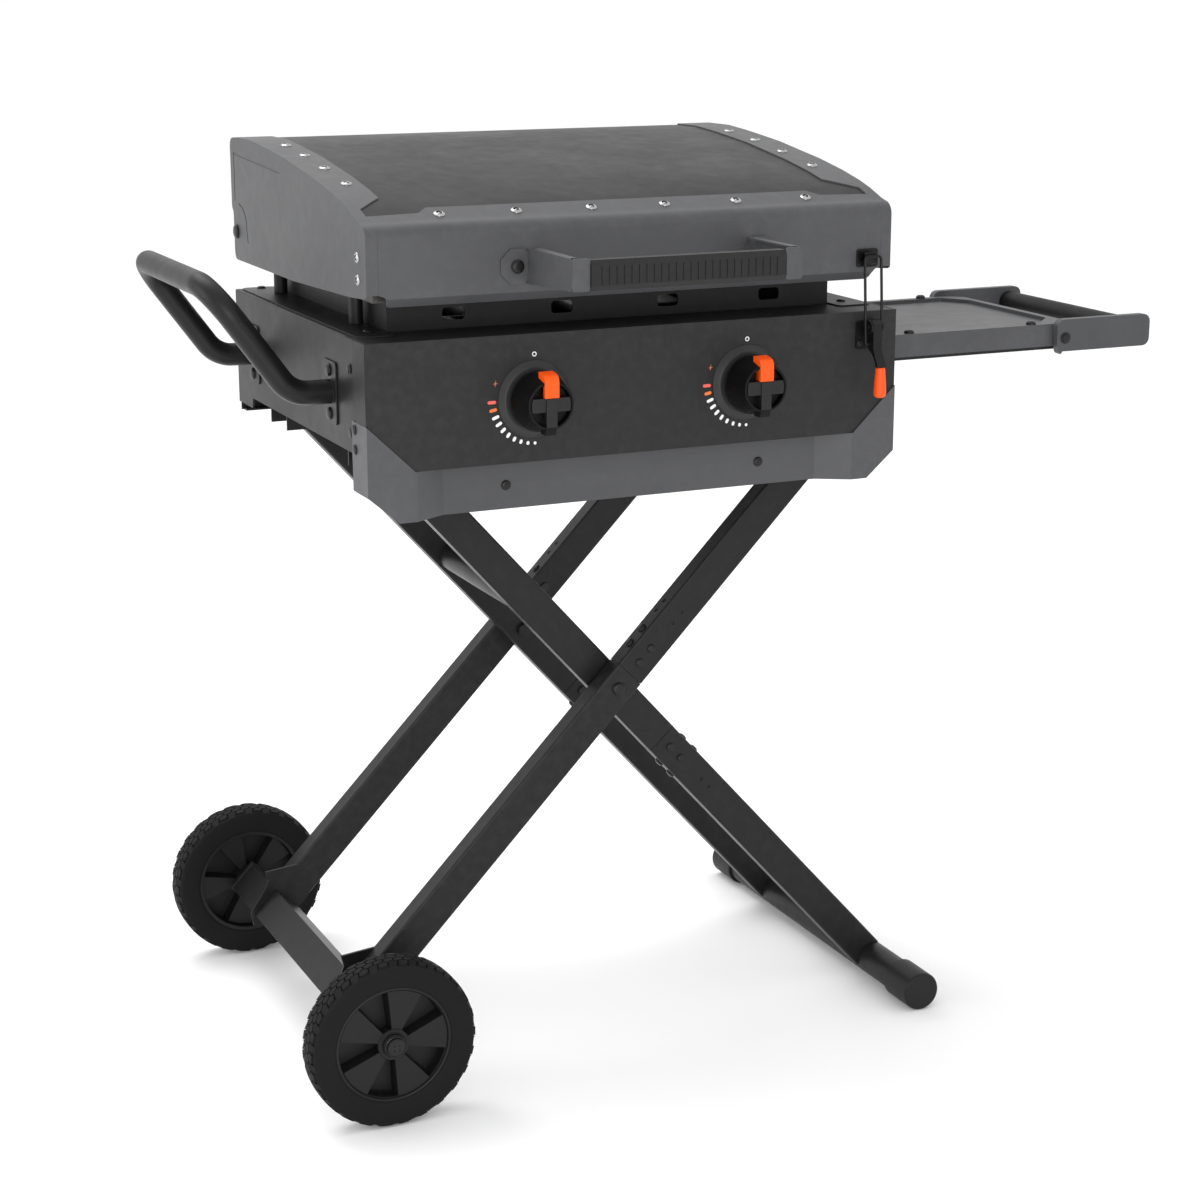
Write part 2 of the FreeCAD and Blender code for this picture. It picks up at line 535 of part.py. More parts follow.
# ends: a flat side with a flange turned in over the cover, narrower over the nose and the front
def hood_end(sx):
    xs = (sx * HOOD_X, sx * (HOOD_X - HOOD_T))
    a, b = min(xs), max(xs)
    s = prism_x([(5.8, 859.5), (5.8, 915.0)] + nose[2:] + HOOD_TOP[:-1]
                + [(456, 983.1), (460.5, 981.3), (463.6, 978), (464.6, 973), (464.6, 908), (463.0, 903.5), (459.6, 901), (458.9, 898),
                   (458.9, 857), (457.6, 851.5), (454.4, 848.2), (449, 847), (240, 847), (107, 851.2), (55, 852.8), (22, 855.2), (10, 856.6), (6.6, 858.0)], a, b)
    xf = (sx * (HOOD_X - HOOD_T / 2), sx * 254.0)
    prof = [(5.8, 859.5), (5.8, 915.0)] + nose[2:] + HOOD_TOP[:-1]
    f = prism_x(band(prof, 0, inward * HOOD_T), min(xf), max(xf))
    # narrow over the front, with a slanted step to the wide part
    nt = prism_z([(sx * 250, -5), (sx * SEAM_X, -5), (sx * SEAM_X, 55), (sx * 254, 84), (sx * 250, 84)], 840, 1000)
    s = union([s, f.cut(nt)])
    # pressed lines of the side
    g = [band([(451, 913), (451, 965)], -1.2, 1.2), band([(452, 966), (280, 958)], -1.2, 1.2),
         band([(435, 911), (424, 908), (413, 900), (409.5, 893), (408.5, 884), (405, 870)], -1.2, 1.2)]
    ga, gb = sorted((sx * (HOOD_X - 0.7), sx * (HOOD_X + 1)))
    for pts in g:
        s = s.cut(prism_x(pts, ga, gb))
    s = s.cut(cyl_x(hy, hz, 4.0 + RUN, a - 5, b + 5))
    return s


he_l, he_r = hood_end(-1), hood_end(1)

# cover: the curved top with the rear wall folded down
cov_line = [(20.0, 926.8)] + HOOD_TOP[:-1] + [(458.6, 982.56)]
cov = prism_x(band(cov_line, inward * HOOD_T, inward * 2 * HOOD_T), -294.6, 294.6)
back = box(-294.6, 294.6, 457.4, 458.9, 882, 981.0)
back = back.cut(box(-296, -278, 450, 470, 880, 891)).cut(box(278, 296, 450, 470, 880, 891))
cov = union([cov, back])

# front: upright face, rolled lower lip and a flange lapped over the cover
fl = [(24, 846.75), (14.5, 846.75), (6.55, 855.4), (6.55, 915.0)]
fr_low = prism_x(band(fl, -0.75, 0.75), -283.5, 283.5)
out_fr = [(-283.5, 930), (-283.5, 860.0), (-281.5, 858.6), (-278, 857.6), (-275.6, 855.6), (-274.2, 852.5), (-273.6, 849), (-271.8, 846.8), (-269, 845.8)]
fr_low = fr_low.common(prism_y(out_fr + [(-x_, z_) for x_, z_ in out_fr[::-1]], 0, 30))
arc_line = nose[1:] + [(27, 930), (53, 939)]
fr_top = prism_x(band(arc_line, 0, inward * HOOD_T), -283.5, 283.5)
fr_top = fr_top.common(prism_z([(-283.5, 0), (283.5, 0), (283.5, 38), (228, 40.5), (216, 52), (-216, 52), (-228, 40.5), (-283.5, 38)], 850, 1000))
fr = union([fr_low, fr_top])
# pressed rounded-rectangle bead on the cover, with nothing in it
print("hood front solids", len(fr.Solids), "cover", len(cov.Solids), "ends", len(he_l.Solids), len(he_r.Solids))


def top_z(y):
    for (y0, z0), (y1, z1) in zip(HOOD_TOP[:-1], HOOD_TOP[1:]):
        if y0 <= y <= y1:
            return z0 + (z1 - z0) * (y - y0) / (y1 - y0)
    return HOOD_TOP[0][1]


def top_n(y):
    d = top_z(y + 2) - top_z(y - 2)
    l = math.hypot(4, d)
    return (0, -d / l, 4 / l)


riv = []
for sx in (-1, 1):
    for y in (335.7, 270.2, 204.8, 135):
        riv.append(((sx * 270.3, y, top_z(y)), top_n(y), 6.0, 2.1, 1.9, 3.6))
for x in (-207.5, -124.5, -41.5, 41.5, 124.5, 207.5):
    riv.append(((x, 36, top_z(36)), top_n(36), 6.0, 2.1, 1.9, 3.6))
for sx in (-1, 1):
    riv.append(((sx * HOOD_X, 31, 895), (sx, 0, 0), 5.4, 2.0, 1.9, 2.6))
    riv.append(((sx * HOOD_X, 30, 873), (sx, 0, 0), 5.4, 2.0, 1.9, 2.6))


def rivet(p, n, r, h, shank, length):
    # blind rivet: broad domed head, open centre, end of the drawn pin inside it
    return lathe([(0, -length), (shank, -length), (shank, 0), (r, 0), (r, 0.3 * h), (0.93 * r, 0.55 * h), (0.78 * r, 0.85 * h), (0.62 * r, h), (0.5 * r, 0.96 * h),
                  (0.43 * r, 0.3 * h), (0.3 * r, 0.3 * h), (0.27 * r, 0.75 * h), (0, 0.95 * h)], p, n)


rivets = [rivet(*r) for r in riv]
rivet_holes = [cyl(tuple(p[i] + n[i] * 1.0 for i in range(3)), (-n[0], -n[1], -n[2]), sh + 0.05, ln + 2.0)
               for p, n, r, h, sh, ln in riv]
# ears behind the hood front take the side rivets
ears = []
for sx in (-1, 1):
    a, b = sorted((sx * 294.6, sx * 293.1))
    ears.append(box(a, b, 7.4, 44, 863, 905))
    a, b = sorted((sx * 294.6, sx * 277.0))
    ears.append(box(a, b, 7.3, 8.8, 863, 905))
fr = union([fr] + ears)
hood_tools = list(rivet_holes)
# handle bolts and latch catch screws through the hood front
hb_bolts = []
for sx in (-1, 1):
    hb_bolts.append(lathe([(0, -9.0), (3.0, -9.0), (3.0, 0), (7.0, 0), (7.0, 1.6), (5.6, 3.0), (3.0, 3.7), (0, 3.9)],
                          (sx * 137, 3.8, 881), (0, -1, 0)))
bolt_holes = [cyl_y(sx * 137, 881, 3.05, -1, 12) for sx in (-1, 1)]
fr = cut(fr, hood_tools + bolt_holes)
he_l = cut(he_l, hood_tools)
he_r = cut(he_r, hood_tools)
cov = cut(cov, hood_tools)
node("hood_cover", cov)
node("hood_end_left", he_l)
node("hood_end_right", he_r)
node("hood_front", fr)
node("hood_rivets", Part.makeCompound(rivets + hb_bolts))

# handle brackets: an eight-sided foot on the hood, an arm forward and a front leaf
hbr = []
for sx in (-1, 1):
    foot = prism_y([(sx * 137 + 19.2 * math.cos(math.radians(22.5 + 45 * i)), 881 + 19.2 * math.sin(math.radians(22.5 + 45 * i))) for i in range(8)], 3.8, 5.8)
    arm = prism_x([(5.8, 863), (5.8, 898.0), (-20, 899.5), (-100, 900), (-106, 894.5), (-106, 873.5), (-100, 868)], min(sx * 124, sx * 126), max(sx * 124, sx * 126))
    bridge = box(min(sx * 126, sx * 130), max(sx * 126, sx * 130), 3.8, 5.8, 866, 896)
    lx = sorted((sx * 107.2, sx * 126))
    leaf = prism_y(rrect(lx[0], lx[1], 868, 900, 3.0), -108, -106)
    flap = box(min(sx * 117, sx * 124), max(sx * 117, sx * 124), -98, -10, 898, 900)
    b = union([foot, bridge, arm, leaf, flap, box(min(sx * 124, sx * 126), max(sx * 124, sx * 126), -108, -105, 872, 896)])
    b = b.cut(cyl_y(sx * 137, 881, 3.05, 0, 10))
    print("hood bracket solids", len(b.Solids))
    hbr.append(b)
node("hood_handle_brackets", Part.makeCompound(hbr))
bar_sec = [(-110, 873), (-106, 868), (-95, 868), (-90, 873), (-90, 893), (-95, 898), (-106, 898), (-110, 893)]
bar = prism_x(bar_sec, -107, 107)
for i in range(-12, 13):
    x = i * 8.0
    bar = bar.cut(box(x - 0.6, x + 0.6, -111, -109.3, 874, 892))
tenon = box(-123.8, 123.8, -105.8, -93, 874, 892)
bar = bar.fuse(tenon).removeSplitter()
node("hood_handle_bar", bar)

# hinge brackets: bent plates on the rear wall of the burner box, reaching out inside the hood
hib = []
for sx in (-1, 1):
    a, b = sorted((sx * 284, sx * 288))
    plate = prism_x([(432, 850), (440, 850), (446.8, 862), (446.8, hz), (437, hz), (432, 866)], a, b)
    ear = cyl_x(hy, hz, 10.0, a, b)
    f = sorted((sx * 228, sx * 250))
    foot = box(f[0], f[1], 432, 434.5, 816.5, 866)
    g = sorted((sx * 228, sx * 286))
    s = union([plate, ear, foot, box(g[0], g[1], 432, 434.5, 850, 866)])
    s = cut(s, [cyl_x(hy, hz, 4.0 + RUN, a - 3, b + 3)] + screw_holes)
    hib.append(s)
    print("hinge bracket solids", len(s.Solids))
node("hood_hinge_brackets", Part.makeCompound(hib))

# catch on the hood front for the latch bail
cb = prism_y(rrect(LATCH_X - 13, LATCH_X + 13, 860, 879.5, 3), 4.3, 5.8)
hook = prism_x([(4.4, 861), (-2.6, 864.5), (-3.6, 868), (-3.6, 876.5), (-1.6, 876.5), (-1.6, 868.6), (4.4, 866.0)], LATCH_X - 7.5, LATCH_X + 7.5)
cat = union([cb, hook])
node("latch_catch", cat)

# ----------------------------------------------------------------------- latch
ly, lz = LEVER_PIV
by, bz = BAIL_PIV
base = prism_y(rrect(LATCH_X - 15, LATCH_X + 15, 773, 803.5, 3), -1.6, 0)
ears = []
for sx in (-1, 1):
    xs = sorted((LATCH_X + sx * 5.7, LATCH_X + sx * 7.4))
    e = prism_x([(-0.5, 787), (ly, 790.2), (ly, 805.8), (-0.5, 803.4)], *xs).fuse(cyl_x(ly, lz, 7.8, *xs))
    ears.append(e)
base = union([base] + ears)
base = base.cut(cyl_x(ly, lz, 2.5 + RUN, 240, 290))
pin = union([cyl_x(ly, lz, 2.5, LATCH_X - 8.0, LATCH_X + 8.0)])
ls = [domed((x, -1.6, 779.5), (0, -1, 0), 3.2, 1.6, 1.7, 4.0) for x in (LATCH_X - 10, LATCH_X + 10)]
lh = [cyl_y(x, 779.5, 1.75, -3, 3) for x in (LATCH_X - 10, LATCH_X + 10)]
base = cut(base, lh)
NODES["control_panel"] = cut(NODES["control_panel"], lh).Solids[0]
node("latch_base", base)

# lever: a bent channel with the pivot at its top and the dipped grip at its foot
lev = prism_x([(ly + 4.5, lz + 6), (ly - 3, lz + 8), (ly - 7.5, lz + 4), (ly - 8.0, bz - 4), (by - 13.0, 766), (by - 17.5, 760), (by - 17.5, 728),
               (by - 12.5, 728), (by - 12.5, 760), (by - 7.0, 768), (by + 4.5, bz - 4)], LATCH_X - 5.2, LATCH_X + 5.2)
lev = lev.cut(prism_x([(ly + 8, lz + 12), (ly - 5.5, lz + 2), (ly - 6.0, bz - 3), (by - 10.0, 769), (by + 8, bz - 6)], LATCH_X - 3.4, LATCH_X + 3.4))
lev = cut(lev, [cyl_x(ly, lz, 2.5 + RUN, 240, 290), cyl_x(by, bz, 1.5 + RUN, 240, 290)])
neck = box(LATCH_X - 10, LATCH_X + 10, by - 20, by - 10, 720, 757)
lev = lev.cut(neck).fuse(box(LATCH_X - 3, LATCH_X + 3, by - 17.0, by - 13.0, 730, 757.5)).removeSplitter()
print("lever solids", len(lev.Solids))
node("latch_lever", lev)
grip = lathe([(0, 0), (4.2, 0), (6.0, 1.4), (6.8, 4.5), (6.4, 14), (5.6, 24), (5.0, 31), (4.2, 32), (0, 32)], (LATCH_X, by - 15.0, 724.5), (0, 0, 1))
grip = grip.cut(box(LATCH_X - 3.02, LATCH_X + 3.02, by - 17.02, by - 12.98, 729.98, 760))
node("latch_grip", grip)

# bail: a closed wire loop, its lower bar through the lever
tz, ty = 872.5, -7.6
dx = 10.0
w = [(LATCH_X, by, bz), (LATCH_X + dx, by, bz), (LATCH_X + dx, ty, tz), (LATCH_X - dx, ty, tz), (LATCH_X - dx, by, bz), (LATCH_X - 0.001, by, bz)]
bail = sweep_round(w, [2.2, 4.0, 4.0, 2.2], 1.5)
print("bail solids", len(bail.Solids), bail.isValid(), bail.Volume)
node("latch_bail", bail)

# ---------------------------------------------------------------- side handle
hx1, hx2 = -343.5, -424.7
loop = [(-302, 110, 750), (hx1, 110, 750), (hx2, 110, 862), (hx2, 383, 862), (hx1, 383, 750), (-302, 383, 750)]
uh = bent_tube(loop, [36.0, 40.0, 40.0, 36.0], TUBE_R, 1.6)
pl = []
for y in (112, 383):
    pl.append(prism_x(rrect(y - 21, y + 21, 717, 782, 5), -302, -300))
uh = union([uh] + pl)
uh = cut(uh, screw_holes)
print("u handle solids", len(uh.Solids))
node("side_handle", uh)

# ----------------------------------------------------------------------- shelf
x0, x1, y0, y1, z0s, z1s = SHELF


def shelf_outline(d, dc):
    # plan of the shelf, moved in by d; the outer corners are cut off
    return [(x0 + d, y0 + d), (x1 - 15 - dc, y0 + d), (x1 - d, y0 + 20 + dc), (x1 - d, y1 - 20 - dc), (x1 - 15 - dc, y1 - d), (x0 + d, y1 - d)]


sh = prism_z(shelf_outline(0, 0), z0s, z1s)
# the long edges lean in towards the top
lean = [face_of([(x0 - 1, y0 - 1, 762), (x0 - 1, y0, 762), (x0 - 1, y0 + 2.4, z1s + 0.01), (x0 - 1, y0 - 1, z1s + 0.01)]).extrude(V(400, 0, 0)),
        face_of([(x0 - 1, y1 + 1, 762), (x0 - 1, y1, 762), (x0 - 1, y1 - 2.4, z1s + 0.01), (x0 - 1, y1 + 1, z1s + 0.01)]).extrude(V(400, 0, 0))]
sh = cut(sh, lean)
sh = sh.cut(prism_z(shelf_outline(1.5, 0.6), z0s - 1, 763.9))
sh = sh.cut(prism_z(shelf_outline(4.2, 1.7), 761.0, z1s - 1.5))


def tray_plan(d):
    a0, a1, b0, b1 = x0 + 6 + d, x1 - 9 - d, y0 + 15 + d, y1 - 13 - d
    pts = [(a0 + 6, b0), (a1 - 34, b0), (a1 - 31, b0 + 1.0), (a1 - 2, b0 + 31), (a1, b0 + 36), (a1, b1 - 34), (a1 - 2, b1 - 29), (a1 - 22, b1 - 2),
           (a1 - 27, b1), (a0 + 6, b1), (a0 + 1.7, b1 - 1.7), (a0, b1 - 6), (a0, b0 + 6), (a0 + 1.7, b0 + 1.7)]
    return pts


FLOOR_Z = 766.0
sh = sh.cut(prism_z(tray_plan(0), FLOOR_Z - 1, z1s + 1))
dish = prism_z(tray_plan(-1.5), FLOOR_Z - 1.5, z1s - 1.0).cut(prism_z(tray_plan(0), FLOOR_Z, z1s + 1))
sh = sh.fuse(dish).removeSplitter()
print("shelf solids", len(sh.Solids), sh.isValid())
arm_holes = [cyl_y(ARM_PIV[0], ARM_PIV[1], PIN_R + RUN, 81, 112), cyl_y(ARM_PIV[0], ARM_PIV[1], PIN_R + RUN, 312, 342)]
sh = cut(sh, screw_holes + arm_holes + [box(302, 305, 84.6, 107.4, 744, 763.6), box(302, 305, 314.6, 337.4, 744, 763.6)])
print("shelf solids", len(sh.Solids))
node("shelf_top", sh)
rl = []
for ya, yb in ((85.0, 107.0), (315.0, 337.0)):
    s = box(300, 578, ya, yb, 741.2, 763.5).cut(box(299, 590, ya + 1.5, yb - 1.5, 742.7, 762.0))
    s = s.fuse(box(300, 301.5, ya - 1.2, yb + 1.2, 730, 763.5).cut(box(299, 303, ya + 1.5, yb - 1.5, 742.7, 762.0)))
    rl.append(s.removeSplitter())
rl = [cut(s, screw_holes + arm_holes) for s in rl]
node("shelf_rails", Part.makeCompound(rl))
arms = []
for ya in (71.5, 340.5):
    a = prism_y(rrect(561.5, 690, 739.5, 776.5, 9), ya, ya + 10)
    # small stop tab under the pivot end
    a = a.fuse(prism_y([(562.5, 745), (564.5, 738.5), (567.0, 736.4), (569.5, 739.5), (575, 742)], ya, ya + 10)).removeSplitter()
    a = a.cut(cyl_y(ARM_PIV[0], ARM_PIV[1], PIN_R + RUN, ya - 1, ya + 11))
    print("arm solids", len(a.Solids))
    arms.append(a)
node("handle_arms", Part.makeCompound(arms))
ht = cyl_y(672, 757.5, 13.5, 81.5, 340.5).cut(cyl_y(672, 757.5, 12.0, 83.0, 339.0))
node("handle_tube", ht)

# --------------------------------------------------------------------- legs
def unit(a, b):
    l = math.hypot(b[0] - a[0], b[1] - a[1])
    return ((b[0] - a[0]) / l, (b[1] - a[1]) / l)


def strip(p, u, s0, s1, w, ya, yb):
    n = (-u[1], u[0])
    pts = []
    for s, k in ((s0, -1), (s1, -1), (s1, 1), (s0, 1)):
        pts.append((p[0] + u[0] * s + n[0] * k * w / 2, p[1] + u[1] * s + n[1] * k * w / 2))
    return prism_y(pts, ya, yb)


def strip_r(p, u, s0, s1, w, ya, yb, r):
    # strip with its four long edges rounded
    s = strip(p, u, s0, s1, w, ya, yb)
    d = V(u[0], 0, u[1])
    ed = []
    for e in s.Edges:
        a, b = e.Vertexes[0].Point, e.Vertexes[-1].Point
        if abs(abs((b - a).normalize().dot(d)) - 1) < 1e-6:
            ed.append(e)
    return s.makeFillet(r, ed)


uf = unit(P_PIV, F_BAR)                 # down the foot leg
uw = unit(A_AX, P_PIV)                  # up the wheel leg
LF_UP = math.hypot(H_PIV[0] - P_PIV[0], H_PIV[1] - P_PIV[1])
LF_DN = math.hypot(F_BAR[0] - P_PIV[0], F_BAR[1] - P_PIV[1])
LW_UP = math.hypot(T_ROD[0] - P_PIV[0], T_ROD[1] - P_PIV[1])
LW_DN = math.hypot(A_AX[0] - P_PIV[0], A_AX[1] - P_PIV[1])
EWID = 18.6
FSEAM, WSEAM = 99.0, 20.0


def at(p, u, s):
    return (p[0] + u[0] * s, p[1] + u[1] * s)


def leg_bolt(x, z, ya, yb, head, nut, r=3.0, hr=6.5, sgn=1):
    # bolt along Y through a leg from ya to yb; head on the ya side, nut on the yb side
    if sgn > 0:
        s = [cyl_y(x, z, r, ya - 0.5, yb + 0.5), lathe([(0, 0), (hr, 0), (hr, head * 0.4), (hr * 0.8, head * 0.8), (hr * 0.45, head), (0, head)], (x, ya, z), (0, -1, 0)),
             hex_prism((x, yb, z), (0, 1, 0), 10.0, nut)]
    else:
        s = [cyl_y(x, z, r, ya - 0.5, yb + 0.5), lathe([(0, 0), (hr, 0), (hr, head * 0.4), (hr * 0.8, head * 0.8), (hr * 0.45, head), (0, head)], (x, yb, z), (0, 1, 0)),
             hex_prism((x, ya, z), (0, -1, 0), 10.0, nut)]
    return union(s)


foot_upper, foot_lower, wheel_upper, wheel_lower = [], [], [], []
foot_bolts, wheel_bolts = [], []
for side_i, (fy, wy) in enumerate(zip(FOOT_LEG_Y, WHEEL_LEG_Y)):
    ya, yb = fy, fy + LEG_T
    wa, wb = wy, wy + LEG_T
    # ---- foot leg, upper piece: pivot ends at the body, necked end below the seam
    o = strip_r(P_PIV, uf, -LF_UP, FSEAM, LEG_W, ya, yb, LEG_R).fuse(cyl_y(H_PIV[0], H_PIV[1], EWID, ya, yb))
    i = strip_r(P_PIV, uf, -LF_UP, FSEAM + 5, LEG_W - 3, ya + 1.5, yb - 1.5, LEG_R - 1.3).fuse(cyl_y(H_PIV[0], H_PIV[1], EWID - 1.5, ya + 1.5, yb - 1.5))
    neck_o = strip_r(P_PIV, uf, FSEAM - 6, FSEAM + 62, LEG_W - 3.3, ya + 1.65, yb - 1.65, 1.3)
    neck_i = strip(P_PIV, uf, FSEAM - 12, FSEAM + 70, LEG_W - 6.6, ya + 3.3, yb - 3.3)
    lip_ = strip_r(P_PIV, uf, FSEAM - 2, FSEAM, LEG_W, ya, yb, LEG_R)
    up = union([o.cut(i), neck_o, lip_]).cut(neck_i)
    # ---- foot leg, lower piece
    lo = strip_r(P_PIV, uf, FSEAM + 0.6, LF_DN - 8, LEG_W, ya, yb, LEG_R).cut(strip_r(P_PIV, uf, FSEAM - 1, LF_DN + 20, LEG_W - 3, ya + 1.5, yb - 1.5, LEG_R - 1.3))
    lo = lo.cut(cyl_y(F_BAR[0], F_BAR[1], BAR_R + 0.05, ya - 5, yb + 5))
    # ---- wheel leg, lower piece with the necked end above the seam
    s_end = -LW_DN + 19.05
    o = strip_r(P_PIV, uw, s_end, WSEAM, LEG_W, wa, wb, LEG_R)
    i = strip_r(P_PIV, uw, s_end - 5, WSEAM + 5, LEG_W - 3, wa + 1.5, wb - 1.5, LEG_R - 1.3)
    neck_o = strip_r(P_PIV, uw, WSEAM - 6, WSEAM + 60, LEG_W - 3.3, wa + 1.65, wb - 1.65, 1.3)
    neck_i = strip(P_PIV, uw, WSEAM - 12, WSEAM + 70, LEG_W - 6.6, wa + 3.3, wb - 3.3)
    lip_ = strip_r(P_PIV, uw, WSEAM - 2, WSEAM, LEG_W, wa, wb, LEG_R)
    wlo = union([o.cut(i), neck_o, lip_]).cut(neck_i)
    # plate closing the end of the leg, set round the axle tube
    pl = [(28, 54), (-12, 50), (-9, 39), (-12.5, 29), (-31, 2), (-28.5, -14), (-14.5, -16.5), (8, 8), (27.5, 1), (40, 14), (44, 44)]
    ga, gb = (wb - 3.0, wb) if side_i == 0 else (wa, wa + 3.0)
    plate = prism_y([(A_AX[0] + x_, A_AX[1] + z_) for x_, z_ in pl], ga, gb)
    sq = [(A_AX[0] + (a_ * uw[0] - b_ * uw[1]) * 19.05, A_AX[1] + (a_ * uw[1] + b_ * uw[0]) * 19.05) for a_, b_ in ((-1, -1), (1, -1), (1, 1), (-1, 1))]
    plate = plate.cut(prism_y(sq, ga - 1, gb + 1))
    wlo = union([wlo, plate])
    # ---- wheel leg, upper piece up to the sliding rod
    o = strip_r(P_PIV, uw, WSEAM + 0.6, LW_UP, LEG_W, wa, wb, LEG_R).fuse(cyl_y(T_ROD[0], T_ROD[1], EWID, wa, wb))
    i = strip_r(P_PIV, uw, WSEAM - 1, LW_UP, LEG_W - 3, wa + 1.5, wb - 1.5, LEG_R - 1.3).fuse(cyl_y(T_ROD[0], T_ROD[1], EWID - 1.5, wa + 1.5, wb - 1.5))
    wup = o.cut(i)
    fcuts, wcuts = [], []
    # pivot holes
    wcuts.append(cyl_y(P_PIV[0], P_PIV[1], PIN_R + RUN, wa - 1, wb + 1))
    fcuts.append(cyl_y(P_PIV[0], P_PIV[1], PIN_R, ya - 1, yb + 1))
    fcuts.append(cyl_y(H_PIV[0], H_PIV[1], PIN_R, ya - 1, yb + 1))
    wcuts.append(cyl_y(T_ROD[0], T_ROD[1], 5.4, wa - 1, wb + 1))
    front = side_i == 0
    sgn = 1 if front else -1
    # splice bolts and the free adjusting holes beyond them
    for s in (115, 135):
        q = at(P_PIV, uf, s)
        fcuts.append(cyl_y(q[0], q[1], 3.05, ya - 1, yb + 1))
        foot_bolts.append(leg_bolt(q[0], q[1], ya, yb, 2.6, 3.0, hr=4.9, sgn=sgn))
    fo, wo = (ya, wa) if front else (yb, wb)
    for s in (172.5, 187):
        q = at(P_PIV, uf, s)
        fcuts.append(cyl_y(q[0], q[1], 2.4, fo - 0.8, fo + 0.8))
    for s in (37, 57):
        q = at(P_PIV, uw, s)
        wcuts.append(cyl_y(q[0], q[1], 3.05, wa - 1, wb + 1))
        wheel_bolts.append(leg_bolt(q[0], q[1], wa, wb, 2.6, 2.2, hr=4.9, sgn=sgn))
    for s in (93.5, 109):
        q = at(P_PIV, uw, s)
        wcuts.append(cyl_y(q[0], q[1], 2.4, wo - 0.8, wo + 0.8))
    # two more spare dimples on the narrow upper side of the wheel leg
    nw = (-uw[1], uw[0])
    for s in (93.0, 107.0):
        q = at(P_PIV, uw, s)
        wcuts.append(cyl((q[0] + nw[0] * 18.2, (wa + wb) / 2, q[1] + nw[1] * 18.2), (nw[0], 0, nw[1]), 2.4, 1.6))
    # centre pivot bolt, fixed in the foot leg; washer in the gap between the legs
    lo_y = wa if front else wb
    if front:
        pb = [cyl_y(P_PIV[0], P_PIV[1], PIN_R, 63.0, yb + 0.2),
              lathe([(0, 0), (7.2, 0), (7.2, 1.2), (6.2, 2.8), (3.8, 3.6), (0, 3.8)], (P_PIV[0], 63.7, P_PIV[1]), (0, -1, 0)),
              cyl_y(P_PIV[0], P_PIV[1], 12.0, 88.9, ya), hex_prism((P_PIV[0], yb, P_PIV[1]), (0, 1, 0), 14.0, 6.0)]
        hb = [cyl_y(H_PIV[0], H_PIV[1], PIN_R, 58.5, 124.0), lathe([(0, 0), (9, 0), (9, 1.6), (7.6, 3.2), (4.6, 4.2), (0, 4.5)], (H_PIV[0], 59.7, H_PIV[1]), (0, -1, 0)),
              cyl_y(H_PIV[0], H_PIV[1], 9.0, 62.3, ya), hex_prism((H_PIV[0], 120.3, H_PIV[1]), (0, 1, 0), 14.0, 6.0)]
    else:
        pb = [cyl_y(P_PIV[0], P_PIV[1], PIN_R, ya - 0.2, 387.0),
              lathe([(0, 0), (7.2, 0), (7.2, 1.2), (6.2, 2.8), (3.8, 3.6), (0, 3.8)], (P_PIV[0], 386.3, P_PIV[1]), (0, 1, 0)),
              cyl_y(P_PIV[0], P_PIV[1], 12.0, yb, 361.1), hex_prism((P_PIV[0], ya, P_PIV[1]), (0, -1, 0), 14.0, 6.0)]
        hb = [cyl_y(H_PIV[0], H_PIV[1], PIN_R, 326.0, 391.5), lathe([(0, 0), (9, 0), (9, 1.6), (7.6, 3.2), (4.6, 4.2), (0, 4.5)], (H_PIV[0], 390.3, H_PIV[1]), (0, 1, 0)),
              cyl_y(H_PIV[0], H_PIV[1], 9.0, yb, 387.7), hex_prism((H_PIV[0], 329.7, H_PIV[1]), (0, -1, 0), 14.0, 6.0)]
    foot_bolts += [union(pb), union(hb)]
    # screws on the narrow sides: both sides of the foot leg, the upper side of the wheel leg
    for s, u, t, lst, cts, yc in ([(s_, uf, t_, foot_bolts, fcuts, (ya + yb) / 2) for s_ in (124.7, 145.5) for t_ in (-1, 1)]
                                  + [(s_, uw, 1, wheel_bolts, wcuts, (wa + wb) / 2) for s_ in (47.2, 68.0)]):
        q = at(P_PIV, u, s)
        n = (-u[1] * t, u[0] * t)
        base_p = (q[0] + n[0] * 19.0, yc, q[1] + n[1] * 19.0)
        lst.append(domed(base_p, (n[0], 0, n[1]), 5.2, 3.0, 2.6, 4.4))
        cts.append(cyl((base_p[0] + n[0], yc, base_p[2] + n[1]), (-n[0], 0, -n[1]), 2.65, 7.0))
    foot_upper.append(cut(up, fcuts))
    foot_lower.append(cut(lo, fcuts))
    wheel_upper.append(cut(wup, wcuts))
    wheel_lower.append(cut(wlo, wcuts))
for nm, lst in (("foot_leg_upper", foot_upper), ("foot_leg_lower", foot_lower), ("wheel_leg_upper", wheel_upper), ("wheel_leg_lower", wheel_lower)):
    for i, tag in enumerate(("front", "rear")):
        print(nm, tag, len(lst[i].Solids), lst[i].isValid())
        node(nm + "_" + tag, lst[i])
node("foot_frame_bolts", Part.makeCompound(foot_bolts))

# round tube welded between the upper foot legs
cx_, cz_ = at(P_PIV, uf, -math.hypot(-85 - P_PIV[0], 504.2 - P_PIV[1]))
node("foot_cross_tube", cyl_y(cx_, cz_, 16.0, FOOT_LEG_Y[0] + LEG_T, FOOT_LEG_Y[1]).cut(cyl_y(cx_, cz_, 14.4, 110, 340)))

